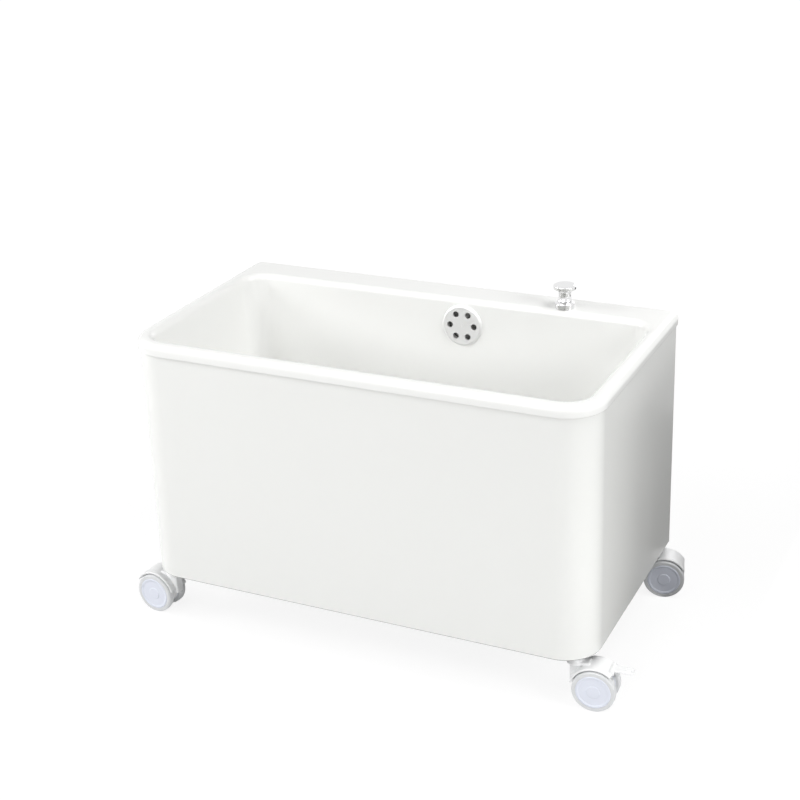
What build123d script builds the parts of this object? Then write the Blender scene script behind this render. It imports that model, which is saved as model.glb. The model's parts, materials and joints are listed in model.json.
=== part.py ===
from build123d import *
import math
import os

# A mop sink on four swivel casters: a one-piece bowl with a rolled rim and a rear deck,
# a wrap-around skirt, a pop-up waste worked by a knob on the deck, and an overflow.
# Millimetres, +Z up, front towards -Y. The origin is on the floor, below the body's middle.

# Body
RIM_WIDTH = 600.0
RIM_DEPTH = 328.0
UNDERBODY_HEIGHT = 80.0
FLOOR_GAP = 64.0
SHELL_WALL = 5.0
FRONT_CORNER_RADIUS = 48.0
RIM_BEAD_HEIGHT = 15.0
RIM_BAND = 20.0
DECK_DEPTH = 48.0
RIM_EDGE_RADIUS = 8.5
RIM_LIP_WALL = 3.0
RIM_LIP_RADIUS = 1.5
SEAT_GAP = 0.3
EDGE_SLACK = 1.0

# Bowl, measured from the rim
BOWL_DEPTH = 238.0
WALL_DRAFT = 3.0
BOWL_CORNER_RADIUS = 28.0
BOWL_FLOOR_RADIUS = 24.0
FLOOR_FALL = 0.02
LOFT_OVERRUN = 10.0

# Skirt and back panel
SKIRT_WALL = 3.0
REAR_RETURN = 15.0
PANEL_WALL = 3.0
PANEL_SCREW_RADIUS = 2.0
PANEL_SCREW_HEAD = 4.5
PANEL_SCREW_HEAD_HEIGHT = 2.2
PANEL_SCREW_HEAD_EDGE = 0.8
PANEL_SCREW_INSET = 7.5
PANEL_SCREW_ROWS = 4
PANEL_SCREW_TIP = 1.0

# Under-frame
RAIL_SIZE = 20.0
RAIL_WALL = 2.0
SOCKET_RADIUS = 9.5
SWIVEL_INSET = 27.0
BEARER_X = 170.0
STUD_RADIUS = 4.0
STUD_NUT_RADIUS = 7.5
STUD_NUT_HEIGHT = 6.5
STUD_FRONT_INSET = 44.0
STUD_REAR_INSET = 56.0
PAD_RADIUS = 18.0
PAD_HEIGHT = 8.0
PAD_BOSS_RADIUS = 11.0
SPACER_WIDTH = 30.0
SPACER_STEP = 1.0

# Drain
DRAIN_X = 30.0
DRAIN_SETBACK = 86.0
FLANGE_RADIUS = 34.0
FLANGE_THICKNESS = 3.0
FLANGE_CLEARANCE = 0.5
RECESS_BOSS_RADIUS = 41.0
NECK_RADIUS = 22.5
DRAIN_BORE_RADIUS = 19.0
NECK_LENGTH = 23.0
FLANGE_BEVEL = 1.0
SEAT_BEVEL = 3.0
GASKET_THICKNESS = 3.0
LOCKNUT_RADIUS = 32.0
LOCKNUT_HEIGHT = 8.0
LOCKNUT_NOTCHES = 8
LOCKNUT_NOTCH = (5.0, 9.0, 6.0)
WASTE_RADIUS = 26.0
WASTE_LENGTH = 47.0
TAILPIECE_RADIUS = 20.0
TAILPIECE_WALL = 2.0
TAILPIECE_LENGTH = 46.0
SLIP_NUT_RADIUS = 29.0
SLIP_NUT_HEIGHT = 14.0
SLIP_NUT_FLUTES = 6
SLIP_NUT_FLUTE = (3.0, 12.0)
TAILPIECE_COLLAR = 0.5

# Overflow
OVERFLOW_X = 30.0
OVERFLOW_DROP = 35.0
ROSETTE_RADIUS = 27.0
ROSETTE_THICKNESS = 3.0
ROSETTE_BEVEL = 1.6
ROSETTE_HOLE_RADIUS = 4.0
ROSETTE_PITCH_RADIUS = 16.5
ROSETTE_HOLES = 6
ROSETTE_SCREW_RADIUS = 2.0
ROSETTE_SCREW_HEAD = 3.4
ROSETTE_SINK_DEPTH = 1.4
ROSETTE_RECESS_WIDTH = 0.9
ROSETTE_RECESS_DEPTH = 0.8
CUP_RADIUS = 23.5
CUP_WALL = 3.0
CUP_DEPTH = 22.0
CUP_FLANGE_RADIUS = 27.5
SPIGOT_RADIUS = 11.0
SPIGOT_WALL = 2.5
SPIGOT_LENGTH = 18.0
CUP_SPIGOT_LENGTH = 23.0
PIPE_WALL = 1.6
PIPE_BEND_RADIUS = 30.0
INLET_DROP = 2.0

# Pop-up linkage
KNOB_X = 162.0
KNOB_SETBACK = 33.0
KNOB_CAP_RADIUS = 14.5
KNOB_CAP_HEIGHT = 6.0
KNOB_CAP_EDGE = 5.0
KNOB_CAP_BEVEL = 1.0
KNOB_SOCKET_DEPTH = 17.0
KNOB_NECK_RADIUS = 9.5
KNOB_WAIST = 1.9
KNOB_FLARE = 1.2
KNOB_HEIGHT = 21.5
KNOB_LIFT = 24.0
COLLAR_RADIUS = 12.3
COLLAR_HEIGHT = 9.0
COLLAR_FOOT_HEIGHT = 7.2
COLLAR_BEVEL = 1.8
COLLAR_SHANK_RADIUS = 5.75
COLLAR_SHANK_LENGTH = 12.0
COLLAR_NUT_RADIUS = 10.0
COLLAR_NUT_HEIGHT = 6.0
ROD_RADIUS = 3.0
STRAP_WIDTH = 10.0
STRAP_THICKNESS = 2.0
STRAP_EYE_CLEARANCE = 1.0
SLEEVE_LENGTH = 16.0
CLAMP_SCREW_RADIUS = 2.0
CLAMP_HEAD_RADIUS = 4.0
CLAMP_HEAD_HEIGHT = 3.0
CLAMP_REACH = 11.0
LEVER_RADIUS = 2.5
LEVER_DROP = 33.0
LEVER_INNER_ARM = 34.0
LEVER_INNER_TIP = 5.0
LEVER_OUTER_TIP = 6.0
BALL_RADIUS = 6.0
PORT_RADIUS = 10.0
BALL_CLEARANCE = 0.3
PIVOT_NUT_WALL = 3.0
PIVOT_NUT_GRIP = 10.0
PIVOT_NUT_MOUTH = 5.0
STOPPER_RADIUS = 21.0
STOPPER_CAP_HEIGHT = 5.5
STOPPER_CAP_EDGE = 2.5
STOPPER_BEVEL = 1.5
STOPPER_EYE_CLEARANCE = 1.5
STOPPER_EYE_MARGIN = 7.0
STOPPER_STEM_RADIUS = 6.0
SEAL_HEIGHT = 1.6
SEAL_INSET = 2.0
FIN_HEIGHT = 13.0
FIN_WALL = 2.0
FIN_CLEARANCE = 1.0
RUNNING_CLEARANCE = 0.05

# Casters
WHEEL_RADIUS = 26.0
WHEEL_WIDTH = 11.0
WHEEL_CORE_RADIUS = 21.0
WHEEL_FACE_WALL = 2.3
WHEEL_FACE_STEP = 0.4
WHEEL_FACE_BAND = 3.0
WHEEL_FACE_EDGE = 1.2
TYRE_CHAMFER = 1.5
TYRE_INSET = 0.6
CASTER_WIDTH = 35.0
CASTER_TRAIL = 24.0
WEB_GAP = 0.5
AXLE_RADIUS = 3.0
STEM_RADIUS = 5.0
STEM_FLANGE_RADIUS = 8.0
STEM_FLANGE_THICKNESS = 3.0
PIN_RADIUS = 3.5
PIN_LENGTH = 28.0
TURRET_RADIUS = 9.0
FENDER_WALL = 2.5
FENDER_CLEARANCE = 1.4
FENDER_WIDTH = 31.0
FENDER_LOW_DEGREES = 30
FENDER_BRAKED_DEGREES = 48
FENDER_HIGH_DEGREES = 165
SADDLE_WIDTH = 14.4
SADDLE_LENGTH = 18.0
SADDLE_DROP = 4.0
NECK_REACH = 6.5
NECK_RISE = 2.0
PEDAL_WIDTH = 14.0
PEDAL_REACH = 25.0
PEDAL_THICKNESS = 3.0
PEDAL_PIVOT_RADIUS = 1.5
PEDAL_PIVOT_DEGREES = 52
PEDAL_PIVOT_STANDOFF = 1.2
PEDAL_BARREL_RADIUS = 3.2
PEDAL_ROOM_RADIUS = 5.2
PEDAL_SIDE_GAP = 0.3
PEDAL_TOE_RADIUS = 4.0
EAR_RADIUS = 3.6
EAR_WIDTH = 3.0

# Heading of each caster's wheels from its swivel axis, in degrees about +Z from +X
CASTERS = {
    "front_left": (-1, -1, 175.0, False),
    "front_right": (1, -1, 5.0, True),
    "rear_left": (-1, 1, 180.0, True),
    "rear_right": (1, 1, 15.0, False),
}

# Places worked out from the sizes above
RIM_TOP = FLOOR_GAP + UNDERBODY_HEIGHT + BOWL_DEPTH
RIM_BOTTOM = RIM_TOP - RIM_BEAD_HEIGHT
POCKET_TOP = RIM_TOP - SHELL_WALL
SKIRT_TOP = POCKET_TOP - SEAT_GAP
HALF_WIDTH = RIM_WIDTH / 2
HALF_DEPTH = RIM_DEPTH / 2
DRAFT_SLOPE = math.tan(math.radians(WALL_DRAFT))
BOWL_FRONT = -HALF_DEPTH + RIM_BAND
BOWL_REAR = HALF_DEPTH - DECK_DEPTH
SWIVEL_X = HALF_WIDTH - SWIVEL_INSET
SWIVEL_Y = HALF_DEPTH - SWIVEL_INSET
STUD_ROWS = (BOWL_FRONT + STUD_FRONT_INSET, BOWL_REAR - STUD_REAR_INSET)
DRAIN_Y = BOWL_REAR - DRAIN_SETBACK
KNOB_Y = HALF_DEPTH - KNOB_SETBACK
DRAIN_Z = RIM_TOP - BOWL_DEPTH
SKIRT_INSET = RIM_LIP_WALL + SEAT_GAP
PANEL_BACK = HALF_DEPTH - SKIRT_INSET
PANEL_FRONT = PANEL_BACK - PANEL_WALL
SKIRT_INSIDE_X = HALF_WIDTH - SKIRT_INSET - SKIRT_WALL
SKIRT_INSIDE_Y = HALF_DEPTH - SKIRT_INSET - SKIRT_WALL
RAIL_BOTTOM = FLOOR_GAP
RAIL_TOP = RAIL_BOTTOM + RAIL_SIZE
RECESS_FLOOR = DRAIN_Z - FLANGE_THICKNESS
BOSS_BOTTOM = RECESS_FLOOR - SHELL_WALL
LOCKNUT_TOP = BOSS_BOTTOM - GASKET_THICKNESS
WASTE_TOP = LOCKNUT_TOP - LOCKNUT_HEIGHT
WASTE_BOTTOM = WASTE_TOP - WASTE_LENGTH
NECK_BOTTOM = RECESS_FLOOR - NECK_LENGTH
LEVER_Z = DRAIN_Z - LEVER_DROP
INLET_Z = LEVER_Z - INLET_DROP
TAILPIECE_STEP = WASTE_BOTTOM - SLIP_NUT_HEIGHT / 2
TAILPIECE_BOTTOM = TAILPIECE_STEP - TAILPIECE_LENGTH
TAILPIECE_TOP = TAILPIECE_STEP + SLIP_NUT_HEIGHT
ROD_REACH = math.hypot(KNOB_X - DRAIN_X, KNOB_Y - DRAIN_Y)
LEVER_HEADING = math.degrees(math.atan2(KNOB_Y - DRAIN_Y, KNOB_X - DRAIN_X))
STRAP_REACH = ROD_REACH + ROD_RADIUS + STRAP_THICKNESS / 2
LEVER_OUTER_ARM = STRAP_REACH - LEVER_INNER_ARM
LEVER_SWING = math.degrees(KNOB_LIFT / LEVER_OUTER_ARM)
STOPPER_LIFT = KNOB_LIFT * LEVER_INNER_ARM / LEVER_OUTER_ARM
SLEEVE_LOW = LEVER_Z + KNOB_LIFT
KNOB_LOW = RIM_TOP + COLLAR_HEIGHT + SEAT_GAP
ROD_TOP = KNOB_LOW + KNOB_SOCKET_DEPTH
STOPPER_SEAT = DRAIN_Z + SEAT_GAP + STOPPER_LIFT
PIPE_RADIUS = SPIGOT_RADIUS + PIPE_WALL
AXLE_Z = WHEEL_RADIUS
WHEEL_INNER = CASTER_WIDTH / 2 - WHEEL_WIDTH
WEB_HALF = WHEEL_INNER - WEB_GAP
FENDER_INNER = WHEEL_RADIUS + FENDER_CLEARANCE
FENDER_OUTER = FENDER_INNER + FENDER_WALL
HOOD_TOP = FLOOR_GAP - STEM_FLANGE_THICKNESS - SEAT_GAP

UP = (Align.CENTER, Align.CENTER, Align.MIN)


def bar(radius, z_low, z_high, x=0.0, y=0.0):
    """Round upright bar between two heights."""
    return Pos(x, y, z_low) * Cylinder(radius, z_high - z_low, align=UP)


def tube(outer, inner, z_low, z_high, x=0.0, y=0.0):
    """Upright tube between two heights."""
    return bar(outer, z_low, z_high, x, y) - bar(inner, z_low, z_high, x, y)


def block(x_low, x_high, y_low, y_high, z_low, z_high):
    """Box between two corners."""
    size = (x_high - x_low, y_high - y_low, z_high - z_low)
    return Pos(x_low, y_low, z_low) * Box(*size, align=(Align.MIN, Align.MIN, Align.MIN))


def turned(*profile):
    """Solid turned about Z from a closed outline of radius and height pairs."""
    return revolve(Plane.XZ * make_face(Polyline(*profile, close=True)), Axis.Z)


def crown(edge, low, top):
    """Arc of a dome's section from its edge up to the axis, level at the top."""
    rise = top - low
    radius = (edge**2 + rise**2) / (2 * rise)
    half = math.asin(edge / radius) / 2
    middle = (radius * math.sin(half), top - radius * (1 - math.cos(half)))
    return ThreePointArc((edge, low), middle, (0, top))


def domed(edge, low, top, *rest):
    """Solid turned about Z: a dome from its edge to the axis, then the rest of its outline."""
    outline = crown(edge, low, top) + Polyline((0, top), *rest, (edge, low))
    return revolve(Plane.XZ * make_face(outline), Axis.Z)


def radial(radius, near, far):
    """Round bar along +X between two distances from the Z axis."""
    return Pos(near, 0, 0) * Rot(0, 90, 0) * Cylinder(radius, far - near, align=UP)


def hexagon_nut(across_corners_radius, bore, height):
    """Hexagon nut on Z, its lower face at Z = 0."""
    body = extrude(RegularPolygon(across_corners_radius, 6), height)
    return body - bar(bore, 0, height)


def plan(inset):
    """Outline of the body seen from above, moved inwards: round front corners, square rear ones."""
    outline = Rectangle(RIM_WIDTH - 2 * inset, RIM_DEPTH - 2 * inset)
    front = outline.vertices().group_by(Axis.Y)[0]
    return fillet(front, FRONT_CORNER_RADIUS - inset)


def plan_slab(inset, z_low, z_high):
    """Slab of the body's outline between two heights."""
    return extrude(Pos(0, 0, z_low) * plan(inset), z_high - z_low)


# Basin and enclosure


def bowl_space(grow):
    """Space of the bowl, grown outwards: drafted walls, round corners, floor falling to the drain."""
    low = DRAIN_Z - grow - LOFT_OVERRUN
    shrink = (RIM_TOP - low) * DRAFT_SLOPE
    width = RIM_WIDTH - 2 * RIM_BAND + 2 * grow
    depth = BOWL_REAR - BOWL_FRONT + 2 * grow
    middle = (BOWL_REAR + BOWL_FRONT) / 2
    top = Pos(0, middle, RIM_TOP) * Rectangle(width, depth)
    base = Pos(0, middle, low) * Rectangle(width - 2 * shrink, depth - 2 * shrink)
    space = loft([top, base], ruled=True)
    walls = [e for e in space.edges() if abs(e.position_at(0).Z - e.position_at(1).Z) > 1]
    space = fillet(walls, BOWL_CORNER_RADIUS + grow)
    reach = RIM_WIDTH
    level = RECESS_BOSS_RADIUS
    under = turned(
        (0, low - LOFT_OVERRUN),
        (0, DRAIN_Z - grow),
        (level, DRAIN_Z - grow),
        (reach, DRAIN_Z - grow + FLOOR_FALL * (reach - level)),
        (reach, low - LOFT_OVERRUN),
    )
    space -= Pos(DRAIN_X, DRAIN_Y, 0) * under
    floor_top = DRAIN_Z - grow + FLOOR_FALL * reach
    rim_edges = []
    for edge in space.edges():
        ends = [edge.position_at(0), edge.position_at(1)]
        nearest = min(math.hypot(p.X - DRAIN_X, p.Y - DRAIN_Y) for p in ends)
        if max(p.Z for p in ends) < floor_top and nearest > level + SHELL_WALL:
            rim_edges.append(edge)
    return fillet(rim_edges, BOWL_FLOOR_RADIUS + grow)


def wall_y(z):
    """Y of the bowl's inner rear wall at a height."""
    return BOWL_REAR - (RIM_TOP - z) * DRAFT_SLOPE


def overflow_frame():
    """Plane on the inner rear wall at the overflow, its normal into the bowl."""
    z = RIM_TOP - OVERFLOW_DROP
    lean = math.radians(WALL_DRAFT)
    normal = (0, -math.cos(lean), math.sin(lean))
    return Plane(origin=(OVERFLOW_X, wall_y(z), z), x_dir=(1, 0, 0), z_dir=normal)


def basin():
    """One-piece shell: bowl, rolled rim on three sides, rear deck with a turned-down edge."""
    slab = plan_slab(0, RIM_BOTTOM, RIM_TOP)
    sides = [e for e in slab.edges() if e.center().Y < HALF_DEPTH - EDGE_SLACK]
    top_sides = [e for e in sides if abs(e.center().Z - RIM_TOP) < 0.01]
    slab = fillet(top_sides, RIM_EDGE_RADIUS)
    low_sides = [
        e for e in slab.edges()
        if abs(e.center().Z - RIM_BOTTOM) < 0.01 and e.center().Y < HALF_DEPTH - EDGE_SLACK
    ]
    slab = fillet(low_sides, RIM_LIP_RADIUS)
    shell = slab - plan_slab(RIM_LIP_WALL, RIM_BOTTOM, POCKET_TOP)
    shell += bowl_space(SHELL_WALL)
    shell += bar(RECESS_BOSS_RADIUS, BOSS_BOTTOM, DRAIN_Z - EDGE_SLACK, DRAIN_X, DRAIN_Y)
    shell -= bowl_space(0)
    mouth = []
    for edge in shell.edges().group_by(Axis.Z)[-1]:
        centre = edge.center()
        inside_x = abs(centre.X) < HALF_WIDTH - RIM_BAND + EDGE_SLACK
        if inside_x and BOWL_FRONT - EDGE_SLACK < centre.Y < BOWL_REAR + EDGE_SLACK:
            mouth.append(edge)
    shell = fillet(mouth, RIM_EDGE_RADIUS)
    seat = FLANGE_RADIUS + FLANGE_CLEARANCE
    shell -= bar(seat, RECESS_FLOOR, RIM_TOP, DRAIN_X, DRAIN_Y)
    shell -= bar(NECK_RADIUS + FLANGE_CLEARANCE, BOSS_BOTTOM, DRAIN_Z, DRAIN_X, DRAIN_Y)
    shell -= overflow_frame() * Pos(0, 0, -2 * SHELL_WALL) * Cylinder(CUP_RADIUS - CUP_WALL, 4 * SHELL_WALL)
    shell -= bar(COLLAR_SHANK_RADIUS + SEAT_GAP, RIM_BOTTOM, RIM_TOP, KNOB_X, KNOB_Y)
    return shell


def skirt():
    """Wrap-around skirt: front, rounded corners and sides, with return flanges at the back."""
    outer = plan_slab(SKIRT_INSET, FLOOR_GAP, SKIRT_TOP)
    inner = plan_slab(SKIRT_INSET + SKIRT_WALL, FLOOR_GAP, SKIRT_TOP)
    back = block(-SKIRT_INSIDE_X, SKIRT_INSIDE_X, 0, HALF_DEPTH, FLOOR_GAP, SKIRT_TOP)
    panel = outer - inner - back
    for side in (-1, 1):
        x_low, x_high = sorted((side * SKIRT_INSIDE_X, side * (SKIRT_INSIDE_X - REAR_RETURN)))
        panel += block(x_low, x_high, PANEL_FRONT - SKIRT_WALL, PANEL_FRONT, FLOOR_GAP, SKIRT_TOP)
        for z in panel_screw_heights():
            panel -= panel_screw_hole(side, z)
    return panel


def panel_screw_heights():
    """Heights of the back panel's screws, evenly spaced between skirt's foot and rim."""
    low = FLOOR_GAP + 2 * REAR_RETURN
    high = RIM_BOTTOM - 2 * REAR_RETURN
    step = (high - low) / (PANEL_SCREW_ROWS - 1)
    return [low + step * i for i in range(PANEL_SCREW_ROWS)]


def panel_screw_place(side, z):
    """Place of a back panel screw, its axis along +Y."""
    x = side * (SKIRT_INSIDE_X - PANEL_SCREW_INSET)
    return Pos(x, PANEL_BACK, z) * Rot(-90, 0, 0)


def panel_screw_hole(side, z):
    """Hole for a back panel screw through panel and return flange."""
    depth = PANEL_WALL + SKIRT_WALL + PANEL_SCREW_TIP
    return panel_screw_place(side, z) * bar(PANEL_SCREW_RADIUS, -depth, PANEL_SCREW_TIP)


def back_panel():
    """Flat back panel, screwed to the skirt's return flanges."""
    half = SKIRT_INSIDE_X - SEAT_GAP
    panel = block(-half, half, PANEL_FRONT, PANEL_BACK, FLOOR_GAP, SKIRT_TOP)
    for side in (-1, 1):
        for z in panel_screw_heights():
            panel -= panel_screw_hole(side, z)
    return panel


def panel_screws():
    """Pan-head screws of the back panel."""
    shank = PANEL_WALL + SKIRT_WALL + PANEL_SCREW_TIP
    rim = (PANEL_SCREW_HEAD, 0)
    head = domed(PANEL_SCREW_HEAD, PANEL_SCREW_HEAD_EDGE, PANEL_SCREW_HEAD_HEIGHT, (0, 0), rim)
    screw = head + bar(PANEL_SCREW_RADIUS, -shank, 0)
    screws = []
    for side in (-1, 1):
        for z in panel_screw_heights():
            screws.append(panel_screw_place(side, z) * screw)
    return Compound(children=screws)


# Under-frame


def square_tube(length):
    """Square tube along X, centred, its lower face at Z = 0."""
    outer = Box(length, RAIL_SIZE, RAIL_SIZE, align=UP)
    hollow = RAIL_SIZE - 2 * RAIL_WALL
    return outer - Pos(0, 0, RAIL_WALL) * Box(length, hollow, hollow, align=UP)


def coped(rail):
    """Rail cut round the stem sockets at its ends."""
    for side_x in (-1, 1):
        for side_y in (-1, 1):
            cut = bar(SOCKET_RADIUS, RAIL_BOTTOM, RAIL_TOP, side_x * SWIVEL_X, side_y * SWIVEL_Y)
            rail -= cut
    return rail


def cross_rails():
    """Front and rear rails of the under-frame."""
    length = 2 * SWIVEL_X
    rails = [coped(Pos(0, side * SWIVEL_Y, RAIL_BOTTOM) * square_tube(length)) for side in (-1, 1)]
    return Compound(children=rails)


def side_rails():
    """Left and right rails of the under-frame, between the cross rails."""
    length = 2 * SWIVEL_Y - RAIL_SIZE
    turn = Rot(0, 0, 90)
    rails = [Pos(side * SWIVEL_X, 0, RAIL_BOTTOM) * turn * square_tube(length) for side in (-1, 1)]
    return Compound(children=rails)


def bearers():
    """Two rails front to back that carry the bowl's support studs."""
    length = 2 * SWIVEL_Y - RAIL_SIZE
    rails = []
    for side in (-1, 1):
        rail = Pos(side * BEARER_X, 0, RAIL_BOTTOM) * Rot(0, 0, 90) * square_tube(length)
        for y in STUD_ROWS:
            rail -= bar(STUD_RADIUS, RAIL_BOTTOM + RAIL_WALL, RAIL_TOP, side * BEARER_X, y)
        rails.append(rail)
    return Compound(children=rails)


def stem_sockets():
    """Round sockets in the frame's corners that take the casters' stems."""
    return Compound(children=[
        tube(SOCKET_RADIUS, STEM_RADIUS, RAIL_BOTTOM, RAIL_TOP, side_x * SWIVEL_X, side_y * SWIVEL_Y)
        for side_x in (-1, 1)
        for side_y in (-1, 1)
    ])


def bowl_underside(x, y, around):
    """Lowest height of the bowl's underside within a distance of a point."""
    away = math.hypot(x - DRAIN_X, y - DRAIN_Y) - around - RECESS_BOSS_RADIUS
    return DRAIN_Z - SHELL_WALL + FLOOR_FALL * away


def stud_places():
    """Foot point and pad top height of each support stud."""
    places = []
    for side in (-1, 1):
        for y in STUD_ROWS:
            x = side * BEARER_X
            places.append((x, y, bowl_underside(x, y, PAD_RADIUS) - SEAT_GAP))
    return places


def support_studs():
    """Threaded studs with lock nuts on the bearers."""
    studs = []
    for x, y, top in stud_places():
        stud = bar(STUD_RADIUS, RAIL_BOTTOM + RAIL_WALL, top - PAD_HEIGHT / 2, x, y)
        stud += Pos(x, y, RAIL_TOP) * hexagon_nut(STUD_NUT_RADIUS, STUD_RADIUS, STUD_NUT_HEIGHT)
        studs.append(stud)
    return Compound(children=studs)


def support_pads():
    """Rubber pads on the studs, under the bowl's floor."""
    pads = []
    for x, y, top in stud_places():
        low = top - PAD_HEIGHT
        pad = bar(PAD_RADIUS, top - PAD_HEIGHT / 2, top, x, y)
        pad += bar(PAD_BOSS_RADIUS, low, top - PAD_HEIGHT / 2, x, y)
        pads.append(pad - bar(STUD_RADIUS, low, top - PAD_HEIGHT / 2, x, y))
    return Compound(children=pads)


def skirt_spacers():
    """Blocks that fill the gap between the frame's rails and the skirt and back panel."""
    half = SPACER_WIDTH / 2
    rail_face_x = SWIVEL_X + RAIL_SIZE / 2
    rail_face_y = SWIVEL_Y + RAIL_SIZE / 2
    low, high = RAIL_BOTTOM + SPACER_STEP, RAIL_TOP - SPACER_STEP
    blocks = []
    for x in (-BEARER_X, 0, BEARER_X):
        blocks.append(block(x - half, x + half, -SKIRT_INSIDE_Y, -rail_face_y, low, high))
        blocks.append(block(x - half, x + half, rail_face_y, PANEL_FRONT, low, high))
    for y in (-SWIVEL_Y / 2, SWIVEL_Y / 2):
        blocks.append(block(rail_face_x, SKIRT_INSIDE_X, y - half, y + half, low, high))
        blocks.append(block(-SKIRT_INSIDE_X, -rail_face_x, y - half, y + half, low, high))
    return Compound(children=blocks)


# Drain


def at_drain(shape):
    """Move a shape from the Z axis to the drain's axis."""
    return Pos(DRAIN_X, DRAIN_Y, 0) * shape


def drain_flange():
    """Chrome flange in the bowl's floor with its threaded neck."""
    return at_drain(turned(
        (DRAIN_BORE_RADIUS, NECK_BOTTOM),
        (NECK_RADIUS, NECK_BOTTOM),
        (NECK_RADIUS, RECESS_FLOOR),
        (FLANGE_RADIUS, RECESS_FLOOR),
        (FLANGE_RADIUS, DRAIN_Z - FLANGE_BEVEL),
        (FLANGE_RADIUS - FLANGE_BEVEL, DRAIN_Z),
        (DRAIN_BORE_RADIUS + SEAT_BEVEL, DRAIN_Z),
        (DRAIN_BORE_RADIUS, DRAIN_Z - SEAT_BEVEL),
    ))


def drain_gasket():
    """Rubber ring under the bowl's drain boss."""
    return at_drain(tube(LOCKNUT_RADIUS, NECK_RADIUS, LOCKNUT_TOP, BOSS_BOTTOM))


def drain_locknut():
    """Ribbed nut that clamps the flange to the bowl's floor."""
    nut = tube(LOCKNUT_RADIUS, NECK_RADIUS, WASTE_TOP, LOCKNUT_TOP)
    for i in range(LOCKNUT_NOTCHES):
        notch = Rot(0, 0, 360 / LOCKNUT_NOTCHES * i) * Pos(LOCKNUT_RADIUS, 0, WASTE_TOP)
        nut -= notch * Box(*LOCKNUT_NOTCH, align=UP)
    return at_drain(nut)


def waste_body():
    """Waste body with the lever's side port and the overflow's inlet."""
    body = bar(WASTE_RADIUS, WASTE_BOTTOM, WASTE_TOP)
    port_end = LEVER_INNER_ARM + BALL_RADIUS
    port = Rot(0, 0, LEVER_HEADING) * Pos(0, 0, LEVER_Z)
    inlet = Rot(0, 0, 90) * Pos(0, 0, INLET_Z)
    inlet_end = WASTE_RADIUS + SPIGOT_LENGTH
    body += port * radial(PORT_RADIUS, 0, port_end)
    body += inlet * radial(SPIGOT_RADIUS, 0, inlet_end)
    body -= bar(NECK_RADIUS, NECK_BOTTOM, WASTE_TOP)
    body -= bar(DRAIN_BORE_RADIUS, WASTE_BOTTOM, WASTE_TOP)
    body -= bar(TAILPIECE_RADIUS + TAILPIECE_COLLAR, WASTE_BOTTOM, TAILPIECE_TOP)
    body -= port * radial(BALL_RADIUS + BALL_CLEARANCE, 0, port_end)
    body -= inlet * radial(SPIGOT_RADIUS - SPIGOT_WALL, 0, inlet_end)
    return at_drain(body)


def slip_nut():
    """Nut that holds the tailpiece in the waste body."""
    low = TAILPIECE_STEP
    nut = tube(SLIP_NUT_RADIUS, WASTE_RADIUS, WASTE_BOTTOM, low + SLIP_NUT_HEIGHT)
    nut += tube(SLIP_NUT_RADIUS, TAILPIECE_RADIUS + TAILPIECE_COLLAR, low, WASTE_BOTTOM)
    for i in range(SLIP_NUT_FLUTES):
        flute = Rot(0, 0, 360 / SLIP_NUT_FLUTES * i) * Pos(SLIP_NUT_RADIUS, 0, low)
        nut -= flute * Box(*SLIP_NUT_FLUTE, SLIP_NUT_HEIGHT, align=UP)
    return at_drain(nut)


def tailpiece():
    """Outlet tube below the waste body, the end that a drain pipe slides over."""
    inner = TAILPIECE_RADIUS - TAILPIECE_WALL
    outlet = tube(TAILPIECE_RADIUS, inner, TAILPIECE_BOTTOM, TAILPIECE_STEP)
    return at_drain(outlet + tube(TAILPIECE_RADIUS + TAILPIECE_COLLAR, inner, TAILPIECE_STEP, TAILPIECE_TOP))


# Overflow


def overflow_rosette():
    """Chrome overflow face with six round holes."""
    face = turned(
        (0, 0),
        (ROSETTE_RADIUS, 0),
        (ROSETTE_RADIUS, ROSETTE_THICKNESS - ROSETTE_BEVEL),
        (ROSETTE_RADIUS - ROSETTE_BEVEL, ROSETTE_THICKNESS),
        (0, ROSETTE_THICKNESS),
    )
    for i in range(ROSETTE_HOLES):
        turn = Rot(0, 0, 360 / ROSETTE_HOLES * i) * Pos(ROSETTE_PITCH_RADIUS, 0, 0)
        face -= turn * bar(ROSETTE_HOLE_RADIUS, 0, ROSETTE_THICKNESS)
    sink = turned(
        (0, 0),
        (ROSETTE_SCREW_RADIUS, 0),
        (ROSETTE_SCREW_RADIUS, ROSETTE_THICKNESS - ROSETTE_SINK_DEPTH),
        (ROSETTE_SCREW_HEAD, ROSETTE_THICKNESS),
        (0, ROSETTE_THICKNESS),
    )
    return overflow_frame() * (face - sink)


def cup_back():
    """Local height of the overflow cup's back, behind the wall."""
    return -SHELL_WALL - GASKET_THICKNESS - CUP_DEPTH


def overflow_screw():
    """Countersunk cross-head screw through the rosette into the cup's post."""
    screw = turned(
        (0, cup_back() + CUP_WALL),
        (ROSETTE_SCREW_RADIUS, cup_back() + CUP_WALL),
        (ROSETTE_SCREW_RADIUS, ROSETTE_THICKNESS - ROSETTE_SINK_DEPTH),
        (ROSETTE_SCREW_HEAD, ROSETTE_THICKNESS),
        (0, ROSETTE_THICKNESS),
    )
    arm = Box(ROSETTE_SCREW_HEAD, ROSETTE_RECESS_WIDTH, 2 * ROSETTE_RECESS_DEPTH)
    recess = Pos(0, 0, ROSETTE_THICKNESS) * (arm + Rot(0, 0, 90) * arm)
    return overflow_frame() * (screw - recess)


def overflow_gasket():
    """Rubber ring between the bowl's rear wall and the overflow cup."""
    ring = tube(CUP_FLANGE_RADIUS, CUP_RADIUS - CUP_WALL, -SHELL_WALL - GASKET_THICKNESS, -SHELL_WALL)
    return overflow_frame() * ring


def spigot_place():
    """X, Y and Z of the overflow cup's downward spigot where it leaves the cup's middle."""
    frame = overflow_frame()
    centre = frame.from_local_coords(Vector(0, 0, cup_back() + CUP_DEPTH / 2))
    return centre.X, centre.Y, centre.Z


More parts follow.
